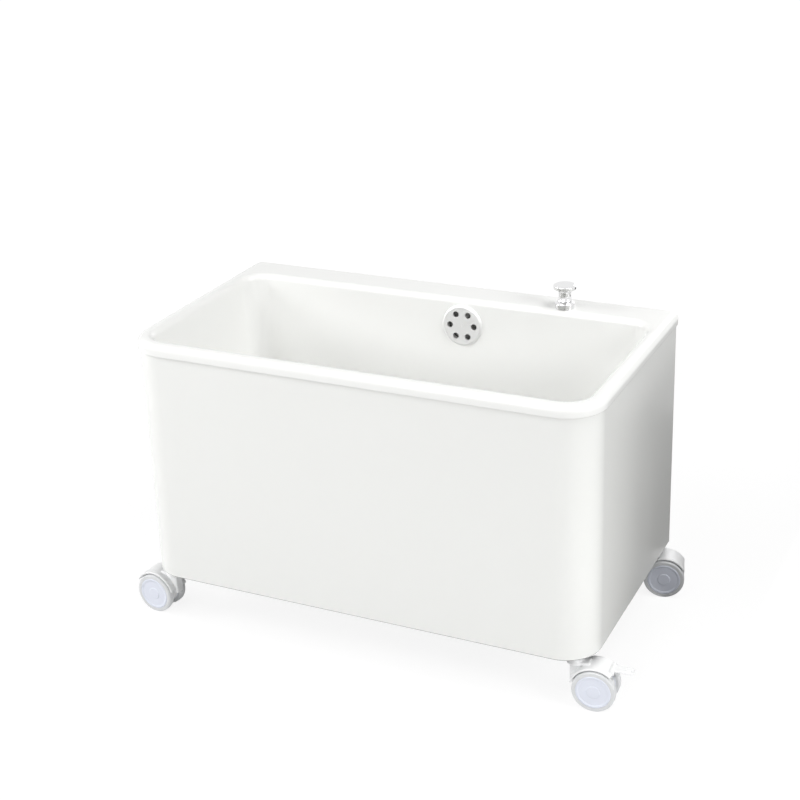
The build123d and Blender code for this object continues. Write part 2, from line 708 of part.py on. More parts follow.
def overflow_cup():
    """Cup behind the wall that gathers the overflow, with a spigot downwards."""
    front = -SHELL_WALL - GASKET_THICKNESS
    frame = overflow_frame()
    x, y, z = spigot_place()
    low = z - CUP_RADIUS - CUP_SPIGOT_LENGTH
    cup = frame * bar(CUP_RADIUS, cup_back(), front)
    cup += frame * bar(CUP_FLANGE_RADIUS, front - CUP_WALL, front)
    cup += bar(SPIGOT_RADIUS, low, z, x, y)
    cup -= frame * bar(CUP_RADIUS - CUP_WALL, cup_back() + CUP_WALL, front)
    cup -= bar(SPIGOT_RADIUS - SPIGOT_WALL, low, z, x, y)
    post = tube(2 * ROSETTE_SCREW_RADIUS, ROSETTE_SCREW_RADIUS, cup_back() + CUP_WALL, front - CUP_WALL)
    return cup + frame * post


def overflow_pipe():
    """Pipe from the overflow cup down behind the bowl and forward to the waste body's inlet."""
    x, y, z = spigot_place()
    top = z - CUP_FLANGE_RADIUS - SEAT_GAP
    front = DRAIN_Y + SLIP_NUT_RADIUS + SEAT_GAP
    path = FilletPolyline((x, y, top), (x, y, INLET_Z), (x, front, INLET_Z), radius=PIPE_BEND_RADIUS)
    mouth = Plane(origin=(x, y, top), x_dir=(1, 0, 0), z_dir=(0, 0, -1))
    return sweep(mouth * (Circle(PIPE_RADIUS) - Circle(SPIGOT_RADIUS)), path=path)


# Pop-up linkage


def at_knob(shape):
    """Move a shape from the Z axis to the knob's axis."""
    return Pos(KNOB_X, KNOB_Y, 0) * shape


def knob_collar():
    """Flared collar on the deck that guides the lift rod, with its shank through the deck."""
    top = RIM_TOP + COLLAR_HEIGHT
    bore = ROD_RADIUS + RUNNING_CLEARANCE
    low = POCKET_TOP - COLLAR_SHANK_LENGTH
    step = RIM_TOP + COLLAR_FOOT_HEIGHT
    return at_knob(turned(
        (bore, low),
        (COLLAR_SHANK_RADIUS, low),
        (COLLAR_SHANK_RADIUS, RIM_TOP),
        (COLLAR_RADIUS, RIM_TOP),
        (COLLAR_RADIUS, step),
        (COLLAR_RADIUS - COLLAR_BEVEL, step + COLLAR_BEVEL),
        (KNOB_NECK_RADIUS, top),
        (bore, top),
    ))


def collar_nut():
    """Nut under the deck that holds the collar."""
    low = POCKET_TOP - COLLAR_NUT_HEIGHT
    return at_knob(Pos(0, 0, low) * hexagon_nut(COLLAR_NUT_RADIUS, COLLAR_SHANK_RADIUS, COLLAR_NUT_HEIGHT))


def knob():
    """Mushroom knob: a waisted neck that flares into a domed cap."""
    shoulder = KNOB_LOW + KNOB_HEIGHT - KNOB_CAP_HEIGHT
    waist = (KNOB_NECK_RADIUS - KNOB_WAIST, (KNOB_LOW + shoulder) / 2)
    flare = (KNOB_NECK_RADIUS + KNOB_FLARE, shoulder)
    foot = (KNOB_NECK_RADIUS, KNOB_LOW)
    rim = (KNOB_CAP_RADIUS, shoulder + KNOB_CAP_EDGE)
    outline = crown(*rim, shoulder + KNOB_CAP_HEIGHT)
    outline += Polyline(
        (0, shoulder + KNOB_CAP_HEIGHT),
        (0, ROD_TOP),
        (ROD_RADIUS, ROD_TOP),
        (ROD_RADIUS, KNOB_LOW),
        foot,
    )
    outline += ThreePointArc(foot, waist, flare)
    outline += Polyline(flare, (KNOB_CAP_RADIUS - KNOB_CAP_BEVEL, shoulder))
    outline += Polyline(
        (KNOB_CAP_RADIUS - KNOB_CAP_BEVEL, shoulder),
        (KNOB_CAP_RADIUS, shoulder + KNOB_CAP_BEVEL),
        rim,
    )
    return at_knob(revolve(Plane.XZ * make_face(outline), Axis.Z))


def lift_rod():
    """Rod from the knob down behind the bowl."""
    return at_knob(bar(ROD_RADIUS, SLEEVE_LOW, ROD_TOP))


def lift_strap():
    """Sleeve clamped on the rod, with the strap that carries the lever's outer end."""
    high = SLEEVE_LOW + SLEEVE_LENGTH
    eye_z = LEVER_Z - KNOB_LIFT / 2
    strap_x = ROD_RADIUS + STRAP_THICKNESS / 2
    strap_low = eye_z - STRAP_WIDTH / 2
    plate = Pos(strap_x, 0, strap_low) * Box(STRAP_THICKNESS, STRAP_WIDTH, high - strap_low, align=UP)
    plate -= Pos(0, 0, eye_z) * radial(LEVER_RADIUS + STRAP_EYE_CLEARANCE, 0, 2 * strap_x)
    plate -= bar(ROD_RADIUS, SLEEVE_LOW, high)
    sleeve = tube(2 * ROD_RADIUS, ROD_RADIUS, SLEEVE_LOW, high)
    screw = radial(CLAMP_SCREW_RADIUS, -CLAMP_REACH, -ROD_RADIUS)
    screw += radial(CLAMP_HEAD_RADIUS, -CLAMP_REACH, CLAMP_HEAD_HEIGHT - CLAMP_REACH)
    middle = Pos(0, 0, SLEEVE_LOW + SLEEVE_LENGTH / 2)
    return at_knob(Rot(0, 0, LEVER_HEADING) * (plate + sleeve + middle * screw))


def pivot_rod():
    """Ball lever: its inner end lifts the stopper, its outer end rides in the strap."""
    tilt = LEVER_SWING / 2
    rod = radial(LEVER_RADIUS, -LEVER_INNER_ARM - LEVER_INNER_TIP, LEVER_OUTER_ARM + LEVER_OUTER_TIP)
    lever = rod + Sphere(BALL_RADIUS)
    place = Rot(0, 0, LEVER_HEADING) * Pos(LEVER_INNER_ARM, 0, LEVER_Z) * Rot(0, tilt, 0)
    return at_drain(place * lever)


def pivot_nut():
    """Cap nut that keeps the ball in the waste body's port."""
    face = LEVER_INNER_ARM + BALL_RADIUS
    rear, front = face - PIVOT_NUT_GRIP, face + PIVOT_NUT_WALL
    cap = radial(PORT_RADIUS + PIVOT_NUT_WALL, rear, front)
    cap -= radial(PORT_RADIUS, rear, face)
    cap -= radial(PIVOT_NUT_MOUTH, rear, front)
    return at_drain(Rot(0, 0, LEVER_HEADING) * Pos(0, 0, LEVER_Z) * cap)


def stopper():
    """Pop-up stopper: domed cap, guide fins and a stem with the lever's eye, drawn open."""
    eye_z = LEVER_Z + STOPPER_LIFT / 2
    cap = domed(
        STOPPER_RADIUS,
        STOPPER_SEAT + STOPPER_CAP_EDGE,
        STOPPER_SEAT + STOPPER_CAP_HEIGHT,
        (0, STOPPER_SEAT),
        (STOPPER_RADIUS - STOPPER_BEVEL, STOPPER_SEAT),
        (STOPPER_RADIUS, STOPPER_SEAT + STOPPER_BEVEL),
    )
    stem = bar(STOPPER_STEM_RADIUS, eye_z - STOPPER_EYE_MARGIN, STOPPER_SEAT + STOPPER_BEVEL)
    fin_low = STOPPER_SEAT - SEAL_HEIGHT - SEAT_GAP - FIN_HEIGHT
    fin = Pos(0, 0, fin_low) * Box(2 * (DRAIN_BORE_RADIUS - FIN_CLEARANCE), FIN_WALL, FIN_HEIGHT, align=UP)
    body = cap + stem + fin + Rot(0, 0, 90) * fin
    reach = 2 * STOPPER_STEM_RADIUS
    eye = Pos(0, 0, eye_z) * radial(LEVER_RADIUS + STOPPER_EYE_CLEARANCE, -reach, reach)
    return at_drain(Rot(0, 0, LEVER_HEADING) * (body - eye))


def stopper_seal():
    """Rubber ring under the stopper's cap."""
    radius = DRAIN_BORE_RADIUS - SEAL_INSET
    return at_drain(tube(radius, STOPPER_STEM_RADIUS, STOPPER_SEAT - SEAL_HEIGHT, STOPPER_SEAT))


# Casters, in their own frame: the swivel axis is Z, the floor is Z = 0, the wheels trail to +X


def across(radius, y_low, y_high, x, z):
    """Round bar along Y between two places on it."""
    return Pos(x, y_low, z) * Rot(-90, 0, 0) * Cylinder(radius, y_high - y_low, align=UP)


def caster_stem():
    """Threaded stem, its flange and the pin that the hood turns on."""
    flange_low = FLOOR_GAP - STEM_FLANGE_THICKNESS
    stem = bar(STEM_RADIUS, FLOOR_GAP, RAIL_TOP)
    stem += bar(STEM_FLANGE_RADIUS, flange_low, FLOOR_GAP)
    return stem + bar(PIN_RADIUS, flange_low - PIN_LENGTH, flange_low)


def pedal_pivot():
    """X and Z of the brake pedal's pivot, on the trailing side of the hood."""
    angle = math.radians(PEDAL_PIVOT_DEGREES)
    reach = FENDER_OUTER + PEDAL_PIVOT_STANDOFF
    return CASTER_TRAIL + reach * math.cos(angle), AXLE_Z + reach * math.sin(angle)


def caster_hood(braked):
    """Hood with the web between the wheels, the fender over them and the turret for the pin."""
    low = FENDER_BRAKED_DEGREES if braked else FENDER_LOW_DEGREES
    far = 2 * FENDER_OUTER
    angles = (low, (low + FENDER_HIGH_DEGREES) / 2, FENDER_HIGH_DEGREES)
    corners = [(far * math.cos(math.radians(a)), far * math.sin(math.radians(a))) for a in angles]
    arch = (Circle(FENDER_OUTER) - Circle(FENDER_INNER)) & Polygon((0, 0), *corners, align=None)
    side_face = Plane(origin=(CASTER_TRAIL, FENDER_WIDTH / 2, AXLE_Z), x_dir=(1, 0, 0), z_dir=(0, -1, 0))
    fender = extrude(side_face * arch, FENDER_WIDTH)
    wheel_space = across(FENDER_INNER, -CASTER_WIDTH / 2, CASTER_WIDTH / 2, CASTER_TRAIL, AXLE_Z)
    half = SADDLE_WIDTH / 2
    turret = bar(TURRET_RADIUS, AXLE_Z, HOOD_TOP)
    turret += block(0, SADDLE_LENGTH, -half, half, AXLE_Z, HOOD_TOP - SADDLE_DROP)
    web = across(WHEEL_CORE_RADIUS, -WEB_HALF, WEB_HALF, CASTER_TRAIL, AXLE_Z)
    web += block(-NECK_REACH, CASTER_TRAIL, -WEB_HALF, WEB_HALF, AXLE_Z + NECK_RISE, AXLE_Z + WHEEL_RADIUS)
    hood = fender + (turret - wheel_space) + web
    if braked:
        x, z = pedal_pivot()
        inside = PEDAL_WIDTH / 2 + PEDAL_SIDE_GAP
        outside = PEDAL_WIDTH / 2 + EAR_WIDTH
        hood += across(EAR_RADIUS, -outside, outside, x, z) - wheel_space
        hood -= across(PEDAL_ROOM_RADIUS, -inside, inside, x, z)
        hood -= across(PEDAL_PIVOT_RADIUS + RUNNING_CLEARANCE, -outside, outside, x, z)
    pin_low = FLOOR_GAP - STEM_FLANGE_THICKNESS - PIN_LENGTH
    hood -= bar(PIN_RADIUS + RUNNING_CLEARANCE, pin_low - SEAT_GAP, HOOD_TOP)
    hood -= across(AXLE_RADIUS, -WEB_HALF, WEB_HALF, CASTER_TRAIL, AXLE_Z)
    return hood


def caster_axle():
    """Steel axle pressed in the hood's web."""
    half = CASTER_WIDTH / 2 - WHEEL_FACE_WALL - SEAT_GAP
    return across(AXLE_RADIUS, -half, half, CASTER_TRAIL, AXLE_Z)


def wheel_core(side):
    """Wheel centre with a closed, slightly stepped outer face and a blind axle bore."""
    inner, outer = WHEEL_INNER, CASTER_WIDTH / 2
    low_face = outer - WHEEL_FACE_STEP
    step = WHEEL_CORE_RADIUS - WHEEL_FACE_BAND
    core = turned(
        (0, inner),
        (WHEEL_CORE_RADIUS, inner),
        (WHEEL_CORE_RADIUS, outer - WHEEL_FACE_EDGE),
        (WHEEL_CORE_RADIUS - WHEEL_FACE_EDGE, low_face),
        (step, low_face),
        (step - WHEEL_FACE_EDGE, outer),
        (0, outer),
    )
    core -= bar(AXLE_RADIUS + RUNNING_CLEARANCE, inner, outer - WHEEL_FACE_WALL)
    return Pos(CASTER_TRAIL, 0, AXLE_Z) * Rot(90 * -side, 0, 0) * core


def tyre(side):
    """Tread ring on a wheel centre."""
    inner, outer = WHEEL_INNER + TYRE_INSET, CASTER_WIDTH / 2 - TYRE_INSET
    ring = turned(
        (WHEEL_CORE_RADIUS, inner),
        (WHEEL_RADIUS - TYRE_CHAMFER, inner),
        (WHEEL_RADIUS, inner + TYRE_CHAMFER),
        (WHEEL_RADIUS, outer - TYRE_CHAMFER),
        (WHEEL_RADIUS - TYRE_CHAMFER, outer),
        (WHEEL_CORE_RADIUS, outer),
    )
    return Pos(CASTER_TRAIL, 0, AXLE_Z) * Rot(90 * -side, 0, 0) * ring


def brake_pedal():
    """Pedal that presses a shoe between the wheels, hinged on the hood's ears."""
    x, z = pedal_pivot()
    half = PEDAL_WIDTH / 2
    outside = half + EAR_WIDTH
    barrel = across(PEDAL_BARREL_RADIUS, -half, half, x, z)
    barrel += across(PEDAL_PIVOT_RADIUS, -outside, outside, x, z)
    plate = block(x, x + PEDAL_REACH, -half, half, z, z + PEDAL_THICKNESS)
    toe = fillet(plate.edges().filter_by(Axis.Z).group_by(Axis.X)[-1], PEDAL_TOE_RADIUS)
    return barrel + toe


def placed(name, shape):
    """Put a caster piece at its corner, turned to its heading."""
    side_x, side_y, heading, _ = CASTERS[name]
    return Pos(side_x * SWIVEL_X, side_y * SWIVEL_Y, 0) * Rot(0, 0, heading) * shape


def caster_nodes():
    """Every caster's pieces by node name."""
    nodes = {"caster_stems": Compound(children=[placed(name, caster_stem()) for name in CASTERS])}
    for name, (_, _, _, braked) in CASTERS.items():
        nodes[f"{name}_hood"] = placed(name, caster_hood(braked))
        nodes[f"{name}_axle"] = placed(name, caster_axle())
        for label, side in (("a", -1), ("b", 1)):
            nodes[f"{name}_wheel_{label}"] = placed(name, wheel_core(side))
            nodes[f"{name}_tyre_{label}"] = placed(name, tyre(side))
        if braked:
            nodes[f"{name}_brake_pedal"] = placed(name, brake_pedal())
    return nodes


def all_nodes():
    """Every node of the sink by name."""
    nodes = {
        "basin": basin(),
        "skirt": skirt(),
        "back_panel": back_panel(),
        "panel_screws": panel_screws(),
        "cross_rails": cross_rails(),
        "side_rails": side_rails(),
        "bearers": bearers(),
        "stem_sockets": stem_sockets(),
        "support_studs": support_studs(),
        "support_pads": support_pads(),
        "skirt_spacers": skirt_spacers(),
        "drain_flange": drain_flange(),
        "drain_gasket": drain_gasket(),
        "drain_locknut": drain_locknut(),
        "waste_body": waste_body(),
        "slip_nut": slip_nut(),
        "tailpiece": tailpiece(),
        "overflow_rosette": overflow_rosette(),
        "overflow_screw": overflow_screw(),
        "overflow_gasket": overflow_gasket(),
        "overflow_cup": overflow_cup(),
        "overflow_pipe": overflow_pipe(),
        "knob_collar": knob_collar(),
        "collar_nut": collar_nut(),
        "knob": knob(),
        "lift_rod": lift_rod(),
        "lift_strap": lift_strap(),
        "pivot_rod": pivot_rod(),
        "pivot_nut": pivot_nut(),
        "stopper": stopper(),
        "stopper_seal": stopper_seal(),
    }
    nodes.update(caster_nodes())
    return nodes


os.makedirs("parts", exist_ok=True)
for node_name, node_shape in all_nodes().items():
    export_step(node_shape, f"parts/{node_name}.step")
print("lever swing", round(LEVER_SWING, 4), "degrees; stopper lift", round(STOPPER_LIFT, 4))
print("lever outer arm", round(LEVER_OUTER_ARM, 4), "heading", round(LEVER_HEADING, 4))
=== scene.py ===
"""Looks of a mop sink on casters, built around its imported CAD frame."""

import functools
import json
import logging
import math
import operator
from collections.abc import Iterable
from dataclasses import dataclass, field
from enum import Enum

import bmesh
import bpy
import numpy as np
from mathutils import Matrix

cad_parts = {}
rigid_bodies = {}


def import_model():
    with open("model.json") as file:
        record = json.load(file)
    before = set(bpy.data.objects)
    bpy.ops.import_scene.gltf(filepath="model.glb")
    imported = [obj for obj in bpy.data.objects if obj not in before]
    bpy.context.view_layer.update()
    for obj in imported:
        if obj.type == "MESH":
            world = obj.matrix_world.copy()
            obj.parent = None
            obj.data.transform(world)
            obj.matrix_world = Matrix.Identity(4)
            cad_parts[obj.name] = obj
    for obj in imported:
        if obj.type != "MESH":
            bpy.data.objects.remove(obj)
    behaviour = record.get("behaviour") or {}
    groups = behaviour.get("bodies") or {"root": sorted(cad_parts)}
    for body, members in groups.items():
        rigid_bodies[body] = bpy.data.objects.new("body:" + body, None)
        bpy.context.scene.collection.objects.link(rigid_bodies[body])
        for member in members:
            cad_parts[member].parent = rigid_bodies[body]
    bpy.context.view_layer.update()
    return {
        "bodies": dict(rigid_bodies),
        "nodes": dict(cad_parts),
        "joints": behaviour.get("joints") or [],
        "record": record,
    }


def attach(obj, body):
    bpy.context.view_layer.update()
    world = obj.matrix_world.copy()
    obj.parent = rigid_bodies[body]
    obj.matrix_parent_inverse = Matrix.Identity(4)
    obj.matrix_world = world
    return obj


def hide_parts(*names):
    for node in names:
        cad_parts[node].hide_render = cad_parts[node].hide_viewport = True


LOG = logging.getLogger("mop_sink")
MM = 0.001
SEAM = 1e-6
FLAT_ANGLE = 1.0
COPY_SHARP_ANGLE = 28.0
SHARP_ANGLE = 35.0
KNOB_SHARP_ANGLE = 40.0
HOOD_SHARP_ANGLE = 60.0


# Surfaces worked out as whole arrays, in millimetres


@dataclass
class Surface:
    """Points and faces of closed surfaces."""

    points: np.ndarray
    faces: list

    def __add__(self, other: "Surface") -> "Surface":
        """Both surfaces as one."""
        shifted = [[index + len(self.points) for index in face] for face in other.faces]
        return Surface(np.vstack([self.points, other.points]), self.faces + shifted)

    def placed(self, matrix: np.ndarray) -> "Surface":
        """The surface moved by a 4 by 4 matrix."""
        return Surface(self.points @ matrix[:3, :3].T + matrix[:3, 3], self.faces)


def shift(x: float = 0.0, y: float = 0.0, z: float = 0.0) -> np.ndarray:
    """Matrix that moves by a distance."""
    matrix = np.eye(4)
    matrix[:3, 3] = (x, y, z)
    return matrix


def turn(axis: str, degrees: float) -> np.ndarray:
    """Matrix that turns about one of the axes X, Y or Z."""
    return np.array(Matrix.Rotation(math.radians(degrees), 4, axis))


def stacked(rings: np.ndarray, cyclic: bool = False) -> Surface:
    """Closed surface over a stack of matched rings.

    The surface is quads between neighbouring rings. The end rings are closed by flat faces,
    or joined to each other when the stack is cyclic.

    Args:
        rings: Array of ring, point and coordinate.
        cyclic: Whether the last ring joins the first.

    Returns:
        The surface.
    """
    count, around = rings.shape[:2]
    here = np.arange(around)
    beside = (here + 1) % around
    rows = np.arange(count if cyclic else count - 1)
    start = (rows * around)[:, None]
    above = ((rows + 1) % count * around)[:, None]
    quads = np.stack([start + here, start + beside, above + beside, above + here], axis=-1)
    faces = quads.reshape(-1, 4).tolist()
    if not cyclic:
        faces.append(here[::-1].tolist())
        faces.append((here + (count - 1) * around).tolist())
    return Surface(rings.reshape(-1, 3), faces)


def rounded_line(corners: list, radii: list, steps: int = 6, closed: bool = False) -> np.ndarray:
    """Line through corners, each corner replaced by an arc.

    An arc of radius r at a corner with the half angle h between its sides starts r / tan h from
    the corner, and its centre lies r / sin h away on the bisector.

    Args:
        corners: Points in two dimensions.
        radii: Radius at each corner, zero for a sharp one.
        steps: Parts of each arc.
        closed: Whether the last point joins the first.

    Returns:
        Points of the rounded line.
    """
    points = np.array(corners, float)
    last = len(points) - 1
    line = []
    for index, radius in enumerate(radii):
        point = points[index]
        if radius == 0 or (not closed and index in (0, last)):
            line.append(point[None])
            continue
        back = points[index - 1] - point
        ahead = points[(index + 1) % len(points)] - point
        back, ahead = back / np.linalg.norm(back), ahead / np.linalg.norm(ahead)
        half = math.acos(np.clip(back @ ahead, -1, 1)) / 2
        middle = (back + ahead) / np.linalg.norm(back + ahead)
        centre = point + middle * radius / math.sin(half)
        start = (point + back * radius / math.tan(half) - centre) / radius
        end = (point + ahead * radius / math.tan(half) - centre) / radius
        sweep = math.pi - 2 * half
        share = np.linspace(0, 1, steps + 1)[:, None]
        arc = (np.sin((1 - share) * sweep) * start + np.sin(share * sweep) * end) / math.sin(sweep)
        line.append(centre + radius * arc)
    return np.vstack(line)


def between(first: np.ndarray, last: np.ndarray, count: int) -> list:
    """Evenly spaced rings from one ring to another, with both."""
    return [(1 - share) * first + share * last for share in np.linspace(0, 1, count)]


def lathe(profile: np.ndarray, around: int = 96, cyclic: bool = False) -> Surface:
    """Surface of revolution about Z.

    Each profile point of radius r and height z becomes the ring (r cos a, r sin a, z).

    Args:
        profile: Radius and height pairs.
        around: Points in each ring.
        cyclic: Whether the profile is a closed section off the axis.

    Returns:
        The surface.
    """
    angle = np.linspace(0, 2 * math.pi, around, endpoint=False)
    circle = np.stack([np.cos(angle), np.sin(angle)], axis=-1)
    profile = np.asarray(profile, float)
    rings = np.empty((len(profile), around, 3))
    rings[:, :, :2] = profile[:, None, :1] * circle
    rings[:, :, 2] = profile[:, 1:]
    return stacked(rings, cyclic)


def turned(rows: tuple, base: float = 0.0, around: int = 96, cyclic: bool = False,
           steps: int = 6) -> Surface:
    """Surface of revolution of a section with rounded corners.

    Args:
        rows: Radius, height and rounding of each corner.
        base: What the heights are measured from.
        around: Points in each ring.
        cyclic: Whether the section is closed and off the axis.
        steps: Parts of each rounding.

    Returns:
        The surface.
    """
    corners = np.array(rows, float)
    corners[:, 1] += base
    return lathe(rounded_line(corners[:, :2], corners[:, 2], steps, cyclic), around, cyclic)


def cylinder(radius: float, low: float, high: float, edges: tuple = (0, 0), around: int = 96) -> Surface:
    """Cylinder about Z between two heights, with the rounding of its lower and its upper edge."""
    rows = ((0, low, 0), (radius, low, edges[0]), (radius, high, edges[1]), (0, high, 0))
    return turned(rows, around=around)


def carried(section: np.ndarray, path: np.ndarray, across: np.ndarray, up: np.ndarray) -> Surface:
    """Section carried along a path.

    The point (a, b) of the section lies at path + a across + b up in every ring.

    Args:
        section: Points of the closed section.
        path: Path points.
        across: First direction of the section at each path point.
        up: Second direction of the section at each path point.

    Returns:
        The surface.
    """
    flat = section[None, :, :1] * across[:, None] + section[None, :, 1:] * up[:, None]
    return stacked(path[:, None] + flat)


@dataclass
class Plan:
    """Matched points round a rectangle with rounded corners, seen from above.

    A point at the centre shares (sx, sy) with the normal (nx, ny) lies at
    (sx (w - r) + r nx, sy (d - r) + r ny) for the half sizes w, d and the corner radius r.
    """

    corner_steps: int = 14
    long_steps: int = 40
    short_steps: int = 20
    shares: np.ndarray = field(init=False)
    normals: np.ndarray = field(init=False)

    def __post_init__(self) -> None:
        """Work out the shares and normals, from the rear right corner anticlockwise."""
        shares, normals = [], []
        signs = ((1, 1), (-1, 1), (-1, -1), (1, -1))
        for quarter, sign in enumerate(signs):
            angle = math.pi / 2 * (quarter + np.linspace(0, 1, self.corner_steps))
            shares.append(np.tile(sign, (self.corner_steps, 1)))
            normals.append(np.stack([np.cos(angle), np.sin(angle)], axis=-1))
            steps = self.long_steps if quarter % 2 == 0 else self.short_steps
            part = np.linspace(0, 1, steps + 2)[1:-1, None]
            following = np.array(signs[(quarter + 1) % 4])
            shares.append((1 - part) * np.array(sign) + part * following)
            normals.append(np.tile(normals[-1][-1], (steps, 1)))
        self.shares = np.vstack(shares).astype(float)
        self.normals = np.vstack(normals)

    def at(self, half_width: float, half_depth: float, front: float, rear: float,
           middle: float = 0.0) -> np.ndarray:
        """Points for half sizes and corner radii, each a number or one value for each point.

        Args:
            half_width: Half size along X.
            half_depth: Half size along Y.
            front: Radius of the front corners.
            rear: Radius of the rear corners.
            middle: Y of the middle.

        Returns:
            Array of X and Y for each point.
        """
        rearward = (self.shares[:, 1] + 1) / 2
        radius = front + (rear - front) * rearward
        x = self.shares[:, 0] * (half_width - radius) + radius * self.normals[:, 0]
        y = middle + self.shares[:, 1] * (half_depth - radius) + radius * self.normals[:, 1]
        return np.stack([x, y], axis=-1)


def with_height(points: np.ndarray, height: float) -> np.ndarray:
    """Ring of points seen from above, raised to a height or to one height for each point."""
    return np.column_stack([points, np.broadcast_to(height, len(points))])


def block(low: tuple, high: tuple, edge: float, corner: float = 0.0) -> Surface:
    """Box with rounded edges.

    Its rings are rectangles inset by e (1 - sin a) at e (1 - cos a) from the ends, for the edge
    radius e and a running over a quarter turn.

    Args:
        low: Lowest corner.
        high: Highest corner.
        edge: Radius of the upper and lower edges.
        corner: Radius of the upright edges, the edge radius when zero.

    Returns:
        The surface.
    """
    rounding_points = 5
    low, high = np.array(low, float), np.array(high, float)
    half, centre = (high - low) / 2, (high + low) / 2
    plan = Plan(corner_steps=rounding_points, long_steps=0, short_steps=0)
    angle = np.linspace(0, math.pi / 2, rounding_points)
    inset = np.concatenate([edge * (1 - np.sin(angle)), edge * (1 - np.cos(angle))])
    height = np.concatenate([low[2] + edge * (1 - np.cos(angle)), high[2] - edge * (1 - np.sin(angle))])
    radius = max(corner, edge)
    rings = [
        with_height(plan.at(half[0] - i, half[1] - i, radius - i, radius - i), z)
        for i, z in zip(inset, height)
    ]
    return stacked(np.array(rings)).placed(shift(centre[0], centre[1]))


def together(surfaces: Iterable) -> Surface:
    """Several surfaces as one."""
    return functools.reduce(operator.add, surfaces)


def crossed(arm: Surface) -> Surface:
    """A surface with a copy of it turned a quarter about Z."""
    return arm + arm.placed(turn("Z", 90))


def cross_recess(long: float, narrow: float, low: float, high: float) -> Surface:
    """Space of a screw's cross recess between two heights, for half its arms' length and width."""
    return crossed(block((-long, -narrow, low), (long, narrow, high), 0.1))


def framed(directions: np.ndarray, place: tuple) -> Matrix:
    """Matrix with its three directions as columns, at a place."""
    matrix = np.eye(4)
    matrix[:3, :3] = directions
    matrix[:3, 3] = place
    return Matrix(matrix)


# Meshes and pieces


def in_metres(matrix: np.ndarray) -> Matrix:
    """The matrix with its shift turned from millimetres to metres."""
    scaled = matrix.copy()
    scaled[:3, 3] *= MM
    return Matrix(scaled)


def mesh_of(name: str, surface: Surface, smooth_angle: float = SHARP_ANGLE) -> bpy.types.Mesh:
    """Mesh of closed surfaces, in metres, its faces outwards and its sharp edges marked.

    Args:
        name: Name of the mesh.
        surface: The surface, in millimetres.
        smooth_angle: Angle in degrees past which an edge is sharp.

    Returns:
        The mesh.
    """
    mesh = bpy.data.meshes.new(name)
    mesh.from_pydata((surface.points * MM).tolist(), [], surface.faces)
    return cleaned(mesh, smooth_angle)


def cleaned(mesh: bpy.types.Mesh, smooth_angle: float) -> bpy.types.Mesh:
    """Merge a mesh's doubles, turn its faces outwards and smooth it up to an angle."""
    work = bmesh.new()
    work.from_mesh(mesh)
    bmesh.ops.remove_doubles(work, verts=work.verts, dist=SEAM)
    bmesh.ops.dissolve_degenerate(work, edges=work.edges, dist=SEAM)
    bmesh.ops.recalc_face_normals(work, faces=work.faces)
    work.to_mesh(mesh)
    work.free()
    mesh.polygons.foreach_set("use_smooth", np.ones(len(mesh.polygons), bool))
    mesh.set_sharp_from_angle(angle=math.radians(smooth_angle))
    return mesh


def frozen(piece: bpy.types.Object) -> bpy.types.Mesh:
    """Mesh of an object with its modifiers applied."""
    bpy.context.view_layer.update()
    ready = piece.evaluated_get(bpy.context.evaluated_depsgraph_get())
    return bpy.data.meshes.new_from_object(ready)


def cut(mesh: bpy.types.Mesh, tools: Surface) -> bpy.types.Mesh:
    """Mesh with the space of closed surfaces, which may cross each other, taken away."""
    scene = bpy.context.scene.collection
    body = bpy.data.objects.new("cut_body", mesh)
    tool = bpy.data.objects.new("cut_tool", mesh_of("cut_tool", tools))
    scene.objects.link(body)
    scene.objects.link(tool)
    modifier = body.modifiers.new("cut", "BOOLEAN")
    modifier.operation = "DIFFERENCE"
    modifier.solver = "EXACT"
    modifier.use_self = True
    modifier.object = tool
    result = frozen(body)
    bpy.data.objects.remove(body)
    bpy.data.objects.remove(tool)
    result.materials.clear()
    return cleaned(result, SHARP_ANGLE)


